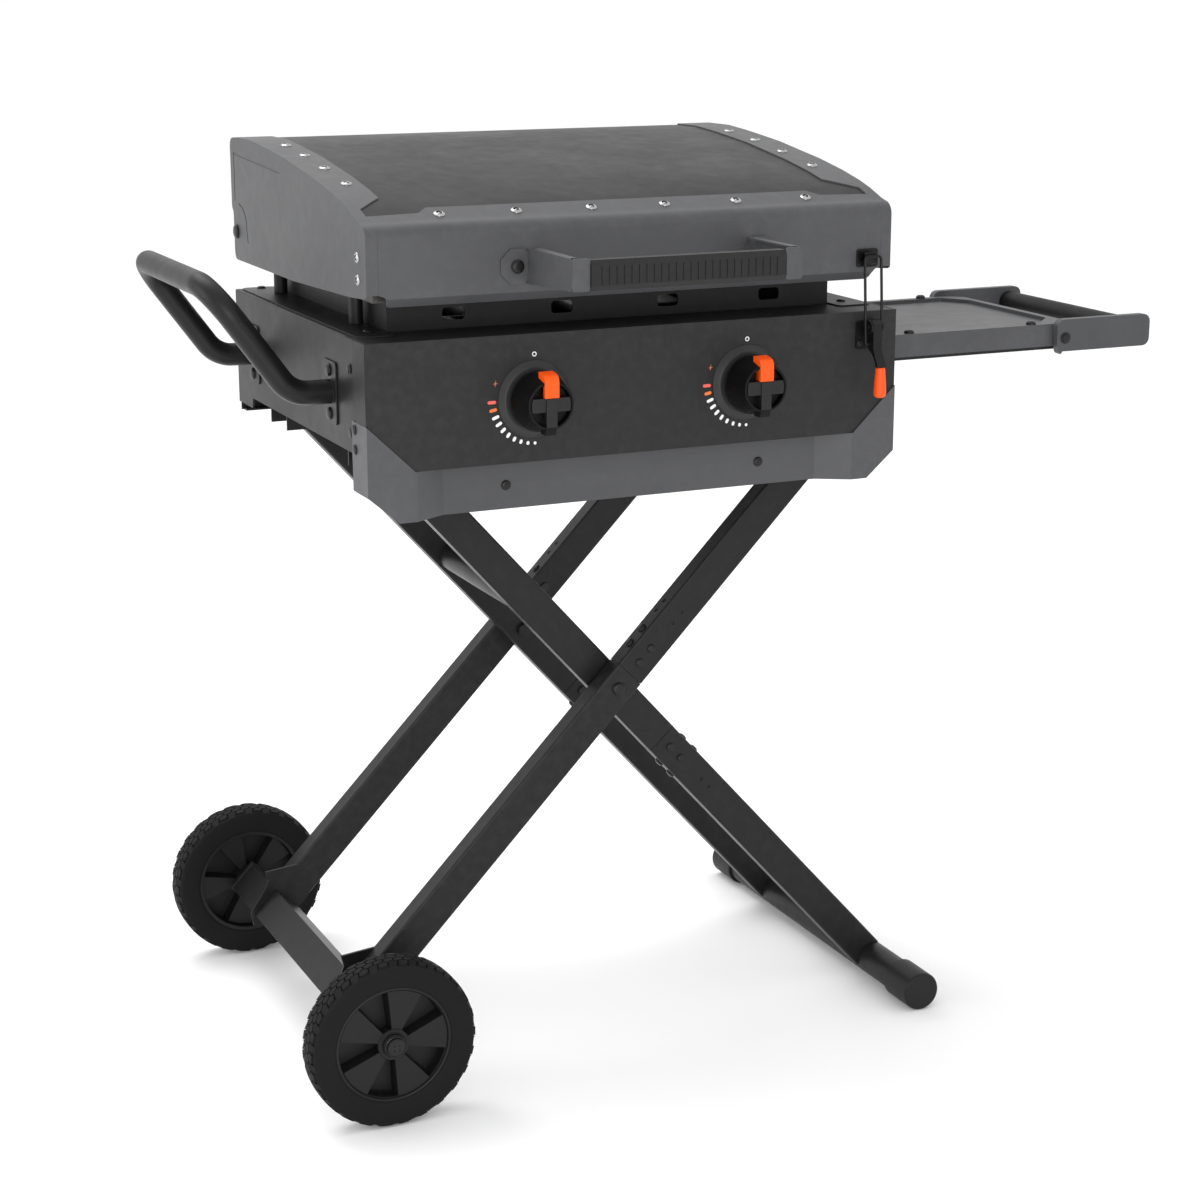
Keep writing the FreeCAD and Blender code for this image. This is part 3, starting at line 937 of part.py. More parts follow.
# foot bar with moulded end caps
fb = cyl_y(F_BAR[0], F_BAR[1], BAR_R, -15.6, 465.6).cut(cyl_y(F_BAR[0], F_BAR[1], BAR_R - 1.6, -17, 467))
node("foot_bar", fb)
caps = []
for p, n in ((-22.0, 1), (472.0, -1)):
    c = lathe([(0, 0), (CAP_R - 3, 0), (CAP_R - 1, 1.0), (CAP_R, 3.0), (CAP_R, 48.0), (CAP_R - 1.0, 50.0), (BAR_R + 0.05, 50.0), (BAR_R + 0.05, 6.3), (0, 6.3)],
              (F_BAR[0], p, F_BAR[1]), (0, n, 0))
    caps.append(c)
node("foot_bar_caps", Part.makeCompound(caps))

# axle tube: square, turned with the wheel legs, with a collar at each end
def square_y(c, u, w, ya, yb, r=0):
    n = (-u[1], u[0])
    pts = [(c[0] + (a * u[0] + b * n[0]) * w / 2, c[1] + (a * u[1] + b * n[1]) * w / 2) for a, b in ((-1, -1), (1, -1), (1, 1), (-1, 1))]
    return prism_y(pts, ya, yb)


axt = square_y(A_AX, uw, 38.0, -4.0, 454.0, 3.0).cut(square_y(A_AX, uw, 35.0, -5, 455, 1.6))
plugs = []
for a, b in ((-10.0, -4.0), (454.0, 460.0)):
    plugs.append(square_y(A_AX, uw, 41.0, a, b, 2.0))
axt = union([axt] + plugs).cut(cyl_y(A_AX[0], A_AX[1], 6.05, -20, 480))
print("axle tube solids", len(axt.Solids))
node("axle_tube", axt)
rod = cyl_y(A_AX[0], A_AX[1], 6.0, -53.0, 503.0)
node("axle_rod", rod)
tr = cyl_y(T_ROD[0], T_ROD[1], 5.4, 54.0, 396.0)
node("sliding_rod", tr)
# nuts on the axle and push caps on the sliding rod
extra = []
for p, n in ((-50.0, -1), (500.0, 1)):
    c = lathe([(6.05, 0), (11.5, 0), (11.5, 1.0), (10.4, 1.5), (9.8, 4.3), (8.6, 5.5), (0, 5.5), (0, 3.2), (6.05, 3.2)], (A_AX[0], p, A_AX[1]), (0, n, 0))
    for dx, dz in ((-2.6, -2.6), (2.6, -2.6), (2.6, 2.6), (-2.6, 2.6)):
        c = c.cut(cyl((A_AX[0] + dx, p + n * 4.6, A_AX[1] + dz), (0, n, 0), 0.95, 3))
    extra.append(c)
for p, n in ((-10.4, -1), (460.4, 1)):
    extra.append(lathe([(6.05, 0), (11, 0), (11, 3.6), (6.05, 3.6)], (A_AX[0], p, A_AX[1]), (0, n, 0)))
for p, n in ((59.6, -1), (390.4, 1)):
    extra.append(lathe([(5.45, 0), (10, 0), (10, 1.2), (7.5, 4.6), (5.45, 4.6)], (T_ROD[0], p, T_ROD[1]), (0, n, 0)))
node("wheel_frame_bolts", Part.makeCompound(wheel_bolts + extra))

# ---------------------------------------------------------------------- wheels
for nm, y0 in (("front", WHEEL_Y[0]), ("rear", WHEEL_Y[1])):
    n_out = -1 if nm == "front" else 1
    yc = y0 + WHEEL_W / 2
    w = WHEEL_W / 2
    R = WHEEL_R
    ty_ = lathe([(RIM_R, -w + 3), (RIM_R + 3.0, -w + 0.5), (R - 15, -w + 0.0), (R - 5, -w + 0.5), (R - 1.6, -w + 1.8), (R - 0.3, -w + 4.5), (R, -w + 9), (R, w - 9),
                 (R - 0.3, w - 4.5), (R - 1.6, w - 1.8), (R - 5, w - 0.5), (R - 15, w), (RIM_R + 3.0, w - 0.5), (RIM_R, w - 3)], (A_AX[0], yc, A_AX[1]), (0, n_out, 0))
    node("tyre_" + nm, ty_)
    rim = lathe([(59.6, -w + 3.2), (RIM_R, -w + 3.0), (RIM_R, w - 3.0), (60.4, w - 2.4), (58.6, w - 3.4), (58.2, w - 7.5), (59.6, w - 8.0)],
                (A_AX[0], yc, A_AX[1]), (0, n_out, 0))
    hub = lathe([(6.0 + RUN, -w), (12.5, -w), (14.0, -w + 2), (14.5, -4), (16.8, w - 9.0), (16.8, w - 3.4), (15.6, w - 2.4), (13.6, w - 2.4), (13.0, w - 0.2), (6.0 + RUN, w - 0.2)],
                (A_AX[0], yc, A_AX[1]), (0, n_out, 0))
    # pressed disc: a sunken floor with five raised hollow sectors
    fa, fb = sorted((yc - n_out * 2.0, yc - n_out * 4.4))
    disc = cyl_y(A_AX[0], A_AX[1], 60.0, fa, fb).cut(cyl_y(A_AX[0], A_AX[1], 14.0, fa - 1, fb + 1))
    outer, hollow = [], []
    for k in range(5):
        t = math.radians(76.5 + 72 * k)
        for lst, d, r0, r1, ya_, yb_ in ((outer, 0.0, 14.0, 59.4, -4.4, 12.6), (hollow, 1.0, 19.5, 57.4, -5.4, 10.2)):
            pts = []
            for rad in (r0, r1):
                h = 0.325 - d * 2.2 / rad
                row = [(A_AX[0] + rad * math.cos(t + h * f), A_AX[1] + rad * math.sin(t + h * f)) for f in (-1, -0.5, 0, 0.5, 1)]
                pts += row if rad == r0 else row[::-1]
            a, b = sorted((yc + n_out * ya_, yc + n_out * yb_))
            lst.append(prism_y(pts, a, b))
    disc = union([disc] + outer).cut(hollow)
    sp = [disc]
    rim = union([rim, hub] + sp)
    rim = rim.cut(cyl_y(A_AX[0], A_AX[1], 6.0 + RUN, yc - 40, yc + 40))
    print("rim solids", len(rim.Solids), rim.isValid())
    node("rim_" + nm, rim)

# ------------------------------------------------------------------ grease cup
gc = prism_z(rrect(150, 230, 451.5, 499.5, 6), 742, 788.0).cut(prism_z(rrect(151.2, 228.8, 452.7, 498.3, 5), 743.2, 790))
gc = gc.fuse(prism_z(rrect(142, 238, 451.2, 500.2, 6), 787.8, 789.2).cut(prism_z(rrect(151.2, 228.8, 452.7, 498.3, 5), 780, 795))).removeSplitter()
gc = gc.fuse(box(178, 202, 499.4, 504.5, 772, 788.0).cut(box(180, 200, 499.4, 503.0, 770, 786.5))).removeSplitter()
print("cup solids", len(gc.Solids))
node("grease_cup", gc)

# --------------------------------------------- screws node, with lever and other pins
node("station_screws", Part.makeCompound(screw_solids + hood_pins + arm_pins + [pin] + ls))

# ------------------------------------------------------------------ write out
lo3, hi3 = [1e9] * 3, [-1e9] * 3
for nm, s in NODES.items():
    pts, _ = s.tessellate(0.2)
    for p in pts:
        for i, v in enumerate((p.x, p.y, p.z)):
            lo3[i] = min(lo3[i], v)
            hi3[i] = max(hi3[i], v)
cx, cy = (lo3[0] + hi3[0]) / 2, (lo3[1] + hi3[1]) / 2
print("bbox", lo3, hi3)
print("shift", cx, cy, lo3[2])
for nm, s in NODES.items():
    t = s.copy()
    t.translate(V(-cx, -cy, -lo3[2]))
    t.exportStep("parts/%s.step" % nm)
print("nodes", len(NODES))
for nm, s in NODES.items():
    print("%-24s solids %2d valid %s vol %.0f" % (nm, len(s.Solids), s.isValid(), s.Volume))
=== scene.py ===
import json
import math

import bmesh
import bpy
from mathutils import Matrix, Vector


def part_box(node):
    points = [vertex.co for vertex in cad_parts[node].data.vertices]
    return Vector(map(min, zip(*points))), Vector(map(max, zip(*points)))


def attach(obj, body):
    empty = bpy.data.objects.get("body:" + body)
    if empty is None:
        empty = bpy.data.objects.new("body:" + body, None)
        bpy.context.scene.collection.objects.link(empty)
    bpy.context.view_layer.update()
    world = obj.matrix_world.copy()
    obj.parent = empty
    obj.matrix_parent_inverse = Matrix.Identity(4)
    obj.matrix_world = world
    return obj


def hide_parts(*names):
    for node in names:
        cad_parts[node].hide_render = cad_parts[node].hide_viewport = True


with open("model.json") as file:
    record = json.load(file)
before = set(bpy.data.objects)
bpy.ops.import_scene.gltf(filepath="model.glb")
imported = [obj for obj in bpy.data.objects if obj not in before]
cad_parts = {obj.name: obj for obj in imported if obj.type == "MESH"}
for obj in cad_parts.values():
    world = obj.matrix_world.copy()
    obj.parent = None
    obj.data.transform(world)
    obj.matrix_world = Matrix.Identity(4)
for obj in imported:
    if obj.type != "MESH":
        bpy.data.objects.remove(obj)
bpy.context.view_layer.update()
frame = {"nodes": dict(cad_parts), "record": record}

NODES = frame["nodes"]
BODY_OF = {n: b for b, ns in frame["record"]["behaviour"]["bodies"].items() for n in ns}

# offset between the building frame of the part (X = 0 at the body's middle, Y = 0 on the
# control panel, both in millimetres) and the row frame in metres
_lo, _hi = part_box("control_panel")
CX = -(_lo.x + _hi.x) / 2 * 1000.0
CY = -_lo.y * 1000.0
CZ = _hi.z * 1000.0 - 813.5


def P(x, y, z):
    return Vector(((x - CX) / 1000.0, (y - CY) / 1000.0, (z + CZ) / 1000.0))


# ------------------------------------------------------------------ materials
class Mat:
    def __init__(self, name):
        self.m = bpy.data.materials.new(name)
        self.m.use_nodes = True
        self.t = self.m.node_tree
        self.b = self.t.nodes["Principled BSDF"]
        self.co = self.t.nodes.new("ShaderNodeTexCoord").outputs["Object"]

    def n(self, kind, **kw):
        x = self.t.nodes.new(kind)
        for k, v in kw.items():
            setattr(x, k, v)
        return x

    def link(self, a, b):
        self.t.links.new(a, b)

    def noise(self, scale, detail=2.0, rough=0.5, vec=None, stretch=None):
        x = self.n("ShaderNodeTexNoise")
        x.inputs["Scale"].default_value = scale
        x.inputs["Detail"].default_value = detail
        x.inputs["Roughness"].default_value = rough
        v = vec or self.co
        if stretch:
            mp = self.n("ShaderNodeMapping")
            mp.inputs["Scale"].default_value = stretch
            self.link(v, mp.inputs["Vector"])
            v = mp.outputs["Vector"]
        self.link(v, x.inputs["Vector"])
        return x.outputs["Fac"]

    def ramp(self, fac, stops):
        x = self.n("ShaderNodeValToRGB")
        e = x.color_ramp.elements
        while len(e) < len(stops):
            e.new(0.5)
        for i, (p, c) in enumerate(stops):
            e[i].position = p
            e[i].color = c if len(c) == 4 else (*c, 1.0)
        self.link(fac, x.inputs["Fac"])
        return x.outputs["Color"]

    def rng(self, fac, a, b, lo=0.0, hi=1.0):
        x = self.n("ShaderNodeMapRange")
        x.inputs["From Min"].default_value = lo
        x.inputs["From Max"].default_value = hi
        x.inputs["To Min"].default_value = a
        x.inputs["To Max"].default_value = b
        self.link(fac, x.inputs["Value"])
        return x.outputs["Result"]

    def math(self, op, a, b=None, clamp=False):
        x = self.n("ShaderNodeMath", operation=op, use_clamp=clamp)
        for i, v in enumerate((a, b)):
            if v is None:
                continue
            if isinstance(v, (int, float)):
                x.inputs[i].default_value = v
            else:
                self.link(v, x.inputs[i])
        return x.outputs["Value"]

    def mix(self, fac, a, b, blend="MIX"):
        x = self.n("ShaderNodeMix", data_type="RGBA", blend_type=blend)
        for key, v in (("Factor", fac), ("A", a), ("B", b)):
            s = [i for i in x.inputs if i.name == key and (i.type == "RGBA" or key == "Factor" and i.type == "VALUE")][0]
            if isinstance(v, (int, float)):
                s.default_value = v
            elif isinstance(v, (tuple, list)):
                s.default_value = (*v[:3], 1.0)
            else:
                self.link(v, s)
        return [o for o in x.outputs if o.type == "RGBA"][0]

    def bump(self, *layers):
        prev = None
        for height, dist, strength in layers:
            x = self.n("ShaderNodeBump")
            x.inputs["Distance"].default_value = dist
            x.inputs["Strength"].default_value = strength
            self.link(height, x.inputs["Height"])
            if prev:
                self.link(prev, x.inputs["Normal"])
            prev = x.outputs["Normal"]
        self.link(prev, self.b.inputs["Normal"])

    def wear(self, amount=0.5, scale=90.0):
        # light rubbing along convex edges, broken up by noise
        g = self.n("ShaderNodeNewGeometry")
        edge = self.rng(g.outputs["Pointiness"], 0.0, 1.0, 0.515, 0.56)
        n = self.rng(self.noise(scale, 4.0, 0.6), 0.0, 1.0, 0.42, 0.72)
        return self.math("MULTIPLY", self.math("MULTIPLY", edge, n, True), amount, True)


def paint(name, col, rough=0.45, peel=0.00003, grain=1400.0, wear=0.12, var=0.10, spec=0.5, wear_col=None):
    """Powder coat: fine orange peel, slight blotches of colour and gloss, rubbed edges."""
    m = Mat(name)
    blotch = m.noise(7.0, 3.0, 0.55)
    fine = m.noise(grain, 2.0, 0.6)
    dust = m.noise(55.0, 5.0, 0.62)
    c0 = tuple(v * (1 - var) for v in col)
    c1 = tuple(min(1.0, v * (1 + var)) for v in col)
    base = m.ramp(blotch, [(0.3, c0), (0.7, c1)])
    speck = m.rng(fine, 0.0, 0.16, 0.55, 0.8)
    base = m.mix(speck, base, tuple(min(1.0, v * 1.9 + 0.012) for v in col))
    haze = m.rng(dust, 0.0, 0.10, 0.52, 0.80)
    base = m.mix(haze, base, tuple(min(1.0, v * 1.25 + 0.02) for v in col))
    if wear:
        wc = wear_col or tuple(min(1.0, v * 1.8 + 0.05) for v in col)
        base = m.mix(m.wear(wear), base, wc)
    m.link(base, m.b.inputs["Base Color"])
    r = m.rng(blotch, rough - 0.05, rough + 0.05, 0.3, 0.7)
    r2 = m.math("ADD", r, m.rng(dust, -0.03, 0.06, 0.3, 0.8))
    m.link(r2, m.b.inputs["Roughness"])
    m.b.inputs["Specular IOR Level"].default_value = spec
    m.bump((fine, peel, 0.35), (m.noise(330.0, 2.0, 0.5), peel * 2.2, 0.30))
    return m.m


def metal(name, col, rough=0.32, brush=(1.0, 1.0, 1.0), scale=700.0, var=0.08, wear=0.0, stain=None):
    m = Mat(name)
    br = m.noise(scale, 3.0, 0.6, stretch=brush)
    bl = m.noise(16.0, 3.0, 0.6)
    base = m.ramp(bl, [(0.3, tuple(v * (1 - var) for v in col)), (0.72, tuple(min(1, v * (1 + var)) for v in col))])
    if stain:
        s = m.rng(m.noise(38.0, 6.0, 0.7), 0.0, 0.8, 0.50, 0.72)
        base = m.mix(s, base, stain)
    m.link(base, m.b.inputs["Base Color"])
    m.b.inputs["Metallic"].default_value = 1.0
    m.link(m.rng(br, rough - 0.08, rough + 0.10, 0.3, 0.7), m.b.inputs["Roughness"])
    m.bump((br, 0.00002, 0.3))
    return m.m


def plastic(name, col, rough=0.42, grain=900.0, depth=0.00003, var=0.07, spec=0.5, wear=0.1, coat=0.0):
    m = Mat(name)
    g = m.noise(grain, 3.0, 0.6)
    bl = m.noise(14.0, 3.0, 0.6)
    base = m.ramp(bl, [(0.3, tuple(v * (1 - var) for v in col)), (0.7, tuple(min(1, v * (1 + var)) for v in col))])
    if wear:
        base = m.mix(m.wear(wear, 160.0), base, tuple(min(1.0, v * 1.5 + 0.03) for v in col))
    m.link(base, m.b.inputs["Base Color"])
    m.link(m.math("ADD", m.rng(g, rough - 0.05, rough + 0.07, 0.3, 0.7), m.rng(m.noise(60.0, 4.0, 0.6), -0.03, 0.05, 0.3, 0.75)),
           m.b.inputs["Roughness"])
    m.b.inputs["Specular IOR Level"].default_value = spec
    m.b.inputs["Coat Weight"].default_value = coat
    m.bump((g, depth, 0.4), (m.noise(150.0, 2.0, 0.5), depth * 1.5, 0.25))
    return m.m


MATS = {
    "paint_black": paint("black_powder_coat", (0.0080, 0.0080, 0.0084), rough=0.40, spec=0.25),
    "paint_cover": paint("cover_paint", (0.0098, 0.0098, 0.0101), rough=0.46, peel=0.00005, spec=0.24),
    "paint_panel": paint("panel_paint", (0.0125, 0.0125, 0.0128), rough=0.48, spec=0.28),
    "paint_grey": paint("grey_paint", (0.058, 0.0588, 0.0620), rough=0.46, spec=0.40),
    "paint_side": paint("dark_grey_paint", (0.0105, 0.0105, 0.0110), rough=0.42, spec=0.24),
    "steel_plate": metal("seasoned_steel", (0.10, 0.095, 0.09), rough=0.42, stain=(0.035, 0.026, 0.02)),
    "steel_plain": metal("plain_steel", (0.52, 0.52, 0.52), rough=0.34, brush=(1, 14, 14)),
    "zinc": metal("zinc_plate", (0.56, 0.56, 0.54), rough=0.34),
    "screw_black": paint("black_oxide", (0.008, 0.008, 0.0085), rough=0.34, peel=0.00001, wear=0.2, spec=0.28),
    "rivet": metal("bright_rivet", (0.42, 0.42, 0.42), rough=0.26),
    "brass_part": metal("machined_brass", (0.70, 0.52, 0.24), rough=0.30),
    "plastic_black": plastic("black_plastic", (0.0105, 0.0105, 0.0108), rough=0.42, spec=0.28),
    "plastic_grey": plastic("grey_plastic", (0.052, 0.053, 0.057), rough=0.45, spec=0.40),
    "plastic_orange": plastic("orange_plastic", (0.90, 0.088, 0.004), rough=0.42, wear=0.02, spec=0.25),
    "grip_orange": plastic("orange_vinyl", (0.84, 0.078, 0.004), rough=0.38, grain=500.0, wear=0.02, spec=0.28),
    "tyre_rubber": plastic("tyre_rubber", (0.0072, 0.0072, 0.0075), rough=0.62, grain=700.0, depth=0.00006, spec=0.12),
    "rim_plastic": plastic("rim_plastic", (0.0080, 0.0080, 0.0083), rough=0.45, spec=0.24),
    "cap_plastic": plastic("cap_plastic", (0.0070, 0.0070, 0.0073), rough=0.46, spec=0.26),
}
BEZEL = plastic("bezel_plastic", (0.0185, 0.0188, 0.0195), rough=0.40, spec=0.36)
LATCH_BLACK = paint("latch_black", (0.0030, 0.0030, 0.0032), rough=0.34, peel=0.00001, wear=0.08, spec=0.26)
# darker knob plastic for skirt and sunken face, also painted shade on the toe of the grip
KNOB_DARK_AND_TOE_SHADE = plastic("knob_skirt_and_toe_shade", (0.0018, 0.0018, 0.0019), rough=0.42, spec=0.16, wear=0.04)
TUBE_BLACK = paint("tube_black", (0.0042, 0.0042, 0.0044), rough=0.48, spec=0.15)
# painted shade for the pressed lines in the hood sides
GROOVE_PAINTED_SHADE = paint("groove_shade", (0.010, 0.010, 0.0104), rough=0.6, wear=0.0, spec=0.15)
# painted shade: dark material for the hollow centres of the pop rivets
RIVET_HOLE_SHADE = metal("rivet_centre_painted_shade", (0.035, 0.035, 0.035), rough=0.5)
PRINT_WHITE = plastic("printed_white", (0.80, 0.80, 0.80), rough=0.55, wear=0.0, var=0.03)
PRINT_CORAL = plastic("printed_coral", (0.80, 0.115, 0.085), rough=0.55, wear=0.0, var=0.03)
PRINT_PINK = plastic("printed_amber", (0.78, 0.17, 0.035), rough=0.55, wear=0.0, var=0.03)
PRINT_SPARK = plastic("printed_spark", (0.42, 0.13, 0.055), rough=0.55, wear=0.0, var=0.03)
SLOT_OF = {s["node"]: s["material_slot"] for s in frame["record"]["subparts"]}


def dress(name, width=0.0004, angle=28.0, seg=2):
    o = NODES[name]
    o.data.materials.clear()
    o.data.materials.append(MATS[SLOT_OF[name]])
    me = o.data
    if "custom_normal" in me.attributes:
        me.attributes.remove(me.attributes["custom_normal"])
    me.polygons.foreach_set("use_smooth", [True] * len(me.polygons))
    w = o.modifiers.new("weld", "WELD")
    w.merge_threshold = 0.00002
    # flat faces come in as triangles: merged again, so that the shading is even
    d = o.modifiers.new("flats", "DECIMATE")
    d.decimate_type = "DISSOLVE"
    d.angle_limit = math.radians(0.6)
    d.use_dissolve_boundaries = False
    if width:
        b = o.modifiers.new("bevel", "BEVEL")
        b.width = width
        b.segments = seg
        b.limit_method = "ANGLE"
        b.angle_limit = math.radians(angle)
        b.use_clamp_overlap = True
        b.harden_normals = False
    wn = o.modifiers.new("normals", "WEIGHTED_NORMAL")
    wn.weight = 80
    wn.keep_sharp = False


for _n in NODES:
    dress(_n)
NODES["knob_bezels"].data.materials[0] = BEZEL
for _n in ("latch_base", "latch_lever", "latch_catch", "latch_bail"):
    NODES[_n].data.materials[0] = LATCH_BLACK
NODES["handle_tube"].data.materials[0] = TUBE_BLACK


def second_finish(name, mat, test):
    """Give the faces that pass the test a second material (here the painted groove shade); the mesh itself stays as it
    is.
    """
    me = NODES[name].data
    me.materials.append(mat)
    k = len(me.materials) - 1
    for f in me.polygons:
        if test(f):
            f.material_index = k


# pressed lines in the sides of the hood, their groove faces in a dark material as painted shade
for _tag, _sx in (("left", -1), ("right", 1)):
    lim = P(_sx * 295.5, 0, 0).x
    second_finish("hood_end_" + _tag, GROOVE_PAINTED_SHADE, lambda f: (f.center.x - lim) * _sx < 0 and (f.center.x - P(_sx * 295.0, 0, 0).x) * _sx > 0
                  and f.center.y > P(0, 270, 0).y and f.center.z < P(0, 0, 967).z)


def rivet_hole_shade_and_bolts():
    """Open centres of the rivets in a dark material as painted shade of their holes, handle bolts in black oxide."""
    me = NODES["hood_rivets"].data
    me.materials.append(RIVET_HOLE_SHADE)
    me.materials.append(MATS["screw_black"])
    par = list(range(len(me.vertices)))

    def root(i):
        while par[i] != i:
            par[i] = par[par[i]]
            i = par[i]
        return i

    # corners that share a place belong to one rivet
    seen = {}
    for v in me.vertices:
        key = (round(v.co.x, 5), round(v.co.y, 5), round(v.co.z, 5))
        if key in seen:
            par[root(v.index)] = root(seen[key])
        else:
            seen[key] = v.index
    for f in me.polygons:
        a = root(f.vertices[0])
        for i in f.vertices[1:]:
            par[root(i)] = a
    groups = {}
    for f in me.polygons:
        groups.setdefault(root(f.vertices[0]), []).append(f)
    for fs in groups.values():
        cs = [f.center for f in fs]
        mid = Vector(((min(c.x for c in cs) + max(c.x for c in cs)) / 2, (min(c.y for c in cs) + max(c.y for c in cs)) / 2,
                      (min(c.z for c in cs) + max(c.z for c in cs)) / 2))
        if mid.y < P(0, 12, 0).y:
            for f in fs:
                f.material_index = 2
            continue
        out = Vector((0, 0, 1)) if abs(mid.x - P(0, 0, 0).x) < 0.285 else Vector((1 if mid.x > P(0, 0, 0).x else -1, 0, 0))
        ax = Vector()
        for f in fs:
            if f.normal.dot(out) > 0.25:
                ax += f.normal * f.area
        ax.normalize()
        wsum, cen = 0.0, Vector()
        for f in fs:
            cen += f.center * f.area
            wsum += f.area
        cen /= wsum
        far = 0.0
        dist = {}
        for f in fs:
            d = f.center - cen
            dist[f.index] = (d - ax * d.dot(ax)).length
            far = max(far, dist[f.index])
        for f in fs:
            # ring round each rivet's hole gets the dark material: painted shade
            if 0.27 * far < dist[f.index] < 0.53 * far and f.normal.dot(ax) > -0.5:
                f.material_index = 1


rivet_hole_shade_and_bolts()


# ------------------------------------------------------------------ mesh helpers
def piece(name, bm, mat, body, smooth=True, width=0.0, angle=30.0, seg=2):
    bm.normal_update()
    bmesh.ops.recalc_face_normals(bm, faces=bm.faces)
    me = bpy.data.meshes.new(name)
    bm.to_mesh(me)
    bm.free()
    o = bpy.data.objects.new(name, me)
    bpy.context.scene.collection.objects.link(o)
    me.materials.append(mat)
    me.polygons.foreach_set("use_smooth", [smooth] * len(me.polygons))
    if width:
        b = o.modifiers.new("bevel", "BEVEL")
        b.width = width
        b.segments = seg
        b.limit_method = "ANGLE"
        b.angle_limit = math.radians(angle)
    if smooth:
        wn = o.modifiers.new("normals", "WEIGHTED_NORMAL")
        wn.weight = 80
    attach(o, body)
    return o


def add_prism(bm, pts, f0, f1):
    """Closed prism between two mappings of the same outline (functions of a point)."""
    a = [bm.verts.new(f0(*p)) for p in pts]
    b = [bm.verts.new(f1(*p)) for p in pts]
    n = len(pts)
    bm.faces.new(a[::-1])
    bm.faces.new(b)
    for i in range(n):
        j = (i + 1) % n
        bm.faces.new((a[i], a[j], b[j], b[i]))


# --------------------------------------------------------- printed marks of the dials
def capsule(cx, cz, ang, length, width, n=8):
    r = width / 2
    h = max(0.0, length / 2 - r)
    ca, sa = math.cos(ang), math.sin(ang)
    out = []
    for k, (sx, a0) in enumerate(((1, -90), (-1, 90))):
        for i in range(n + 1):
            t = math.radians(a0 + 180.0 * i / n)
            u, v = sx * h + r * math.cos(t), r * math.sin(t)
            out.append((cx + u * ca - v * sa, cz + u * sa + v * ca))
    if h == 0.0:
        out = [(cx + r * math.cos(2 * math.pi * i / 16), cz + r * math.sin(2 * math.pi * i / 16)) for i in range(16)]
    return out


def print_mark(name, outlines, kx, mat):
    bm = bmesh.new()
    for pts in outlines:
        add_prism(bm, pts, lambda x, z: P(kx + x, 0.0, 746.6 + z), lambda x, z: P(kx + x, -0.14, 746.6 + z))
    return piece(name, bm, mat, "station", smooth=False)


def print_ring(name, cx, cz, r0, r1, kx, mat, n=28):
    bm = bmesh.new()
    rings = []
    for y in (0.0, -0.14):
        for r in (r0, r1):
            rings.append([bm.verts.new(P(kx + cx + r * math.cos(2 * math.pi * i / n), y, 746.6 + cz + r * math.sin(2 * math.pi * i / n)))
                          for i in range(n)])
    b0, b1, f0, f1 = rings
    for p, q in ((b0, b1), (b1, f1), (f1, f0), (f0, b0)):
        for i in range(n):
            j = (i + 1) % n
            bm.faces.new((p[i], p[j], q[j], q[i]))
    return piece(name, bm, mat, "station", smooth=False)


for _kx, _tag in ((-121.25, "left"), (121.25, "right")):
    print_ring("mark_off_" + _tag, 0.3, 45.9, 1.5, 2.5, _kx, PRINT_WHITE)
    marks = []
    for k in range(8):
        a = math.radians(200.9 + 9.95 * k)
        marks.append(capsule(45.5 * math.cos(a), 45.5 * math.sin(a), a, 8.3 - 0.72 * k, 3.2, 6))
    print_mark("marks_low_" + _tag, marks, _kx, PRINT_WHITE)
    a1, a2 = math.radians(180.6), math.radians(190.8)
    print_mark("mark_high_a_" + _tag, [capsule(46.5 * math.cos(a1), 46.5 * math.sin(a1), a1, 9.4, 3.4, 6)], _kx, PRINT_CORAL)
    print_mark("mark_high_b_" + _tag, [capsule(46.0 * math.cos(a2), 46.0 * math.sin(a2), a2, 8.4, 3.4, 6)], _kx, PRINT_PINK)
    sx_, sz_ = -42.5, 18.4
    star = []
    for k, (r, d) in enumerate(((3.6, 80), (0.9, 40), (2.9, 5), (0.9, -45), (3.6, -100), (0.9, -140), (2.9, 185), (0.9, 130))):
        star.append((sx_ + r * math.cos(math.radians(d)), sz_ + r * math.sin(math.radians(d))))
    print_mark("mark_spark_" + _tag, [star], _kx, PRINT_SPARK)


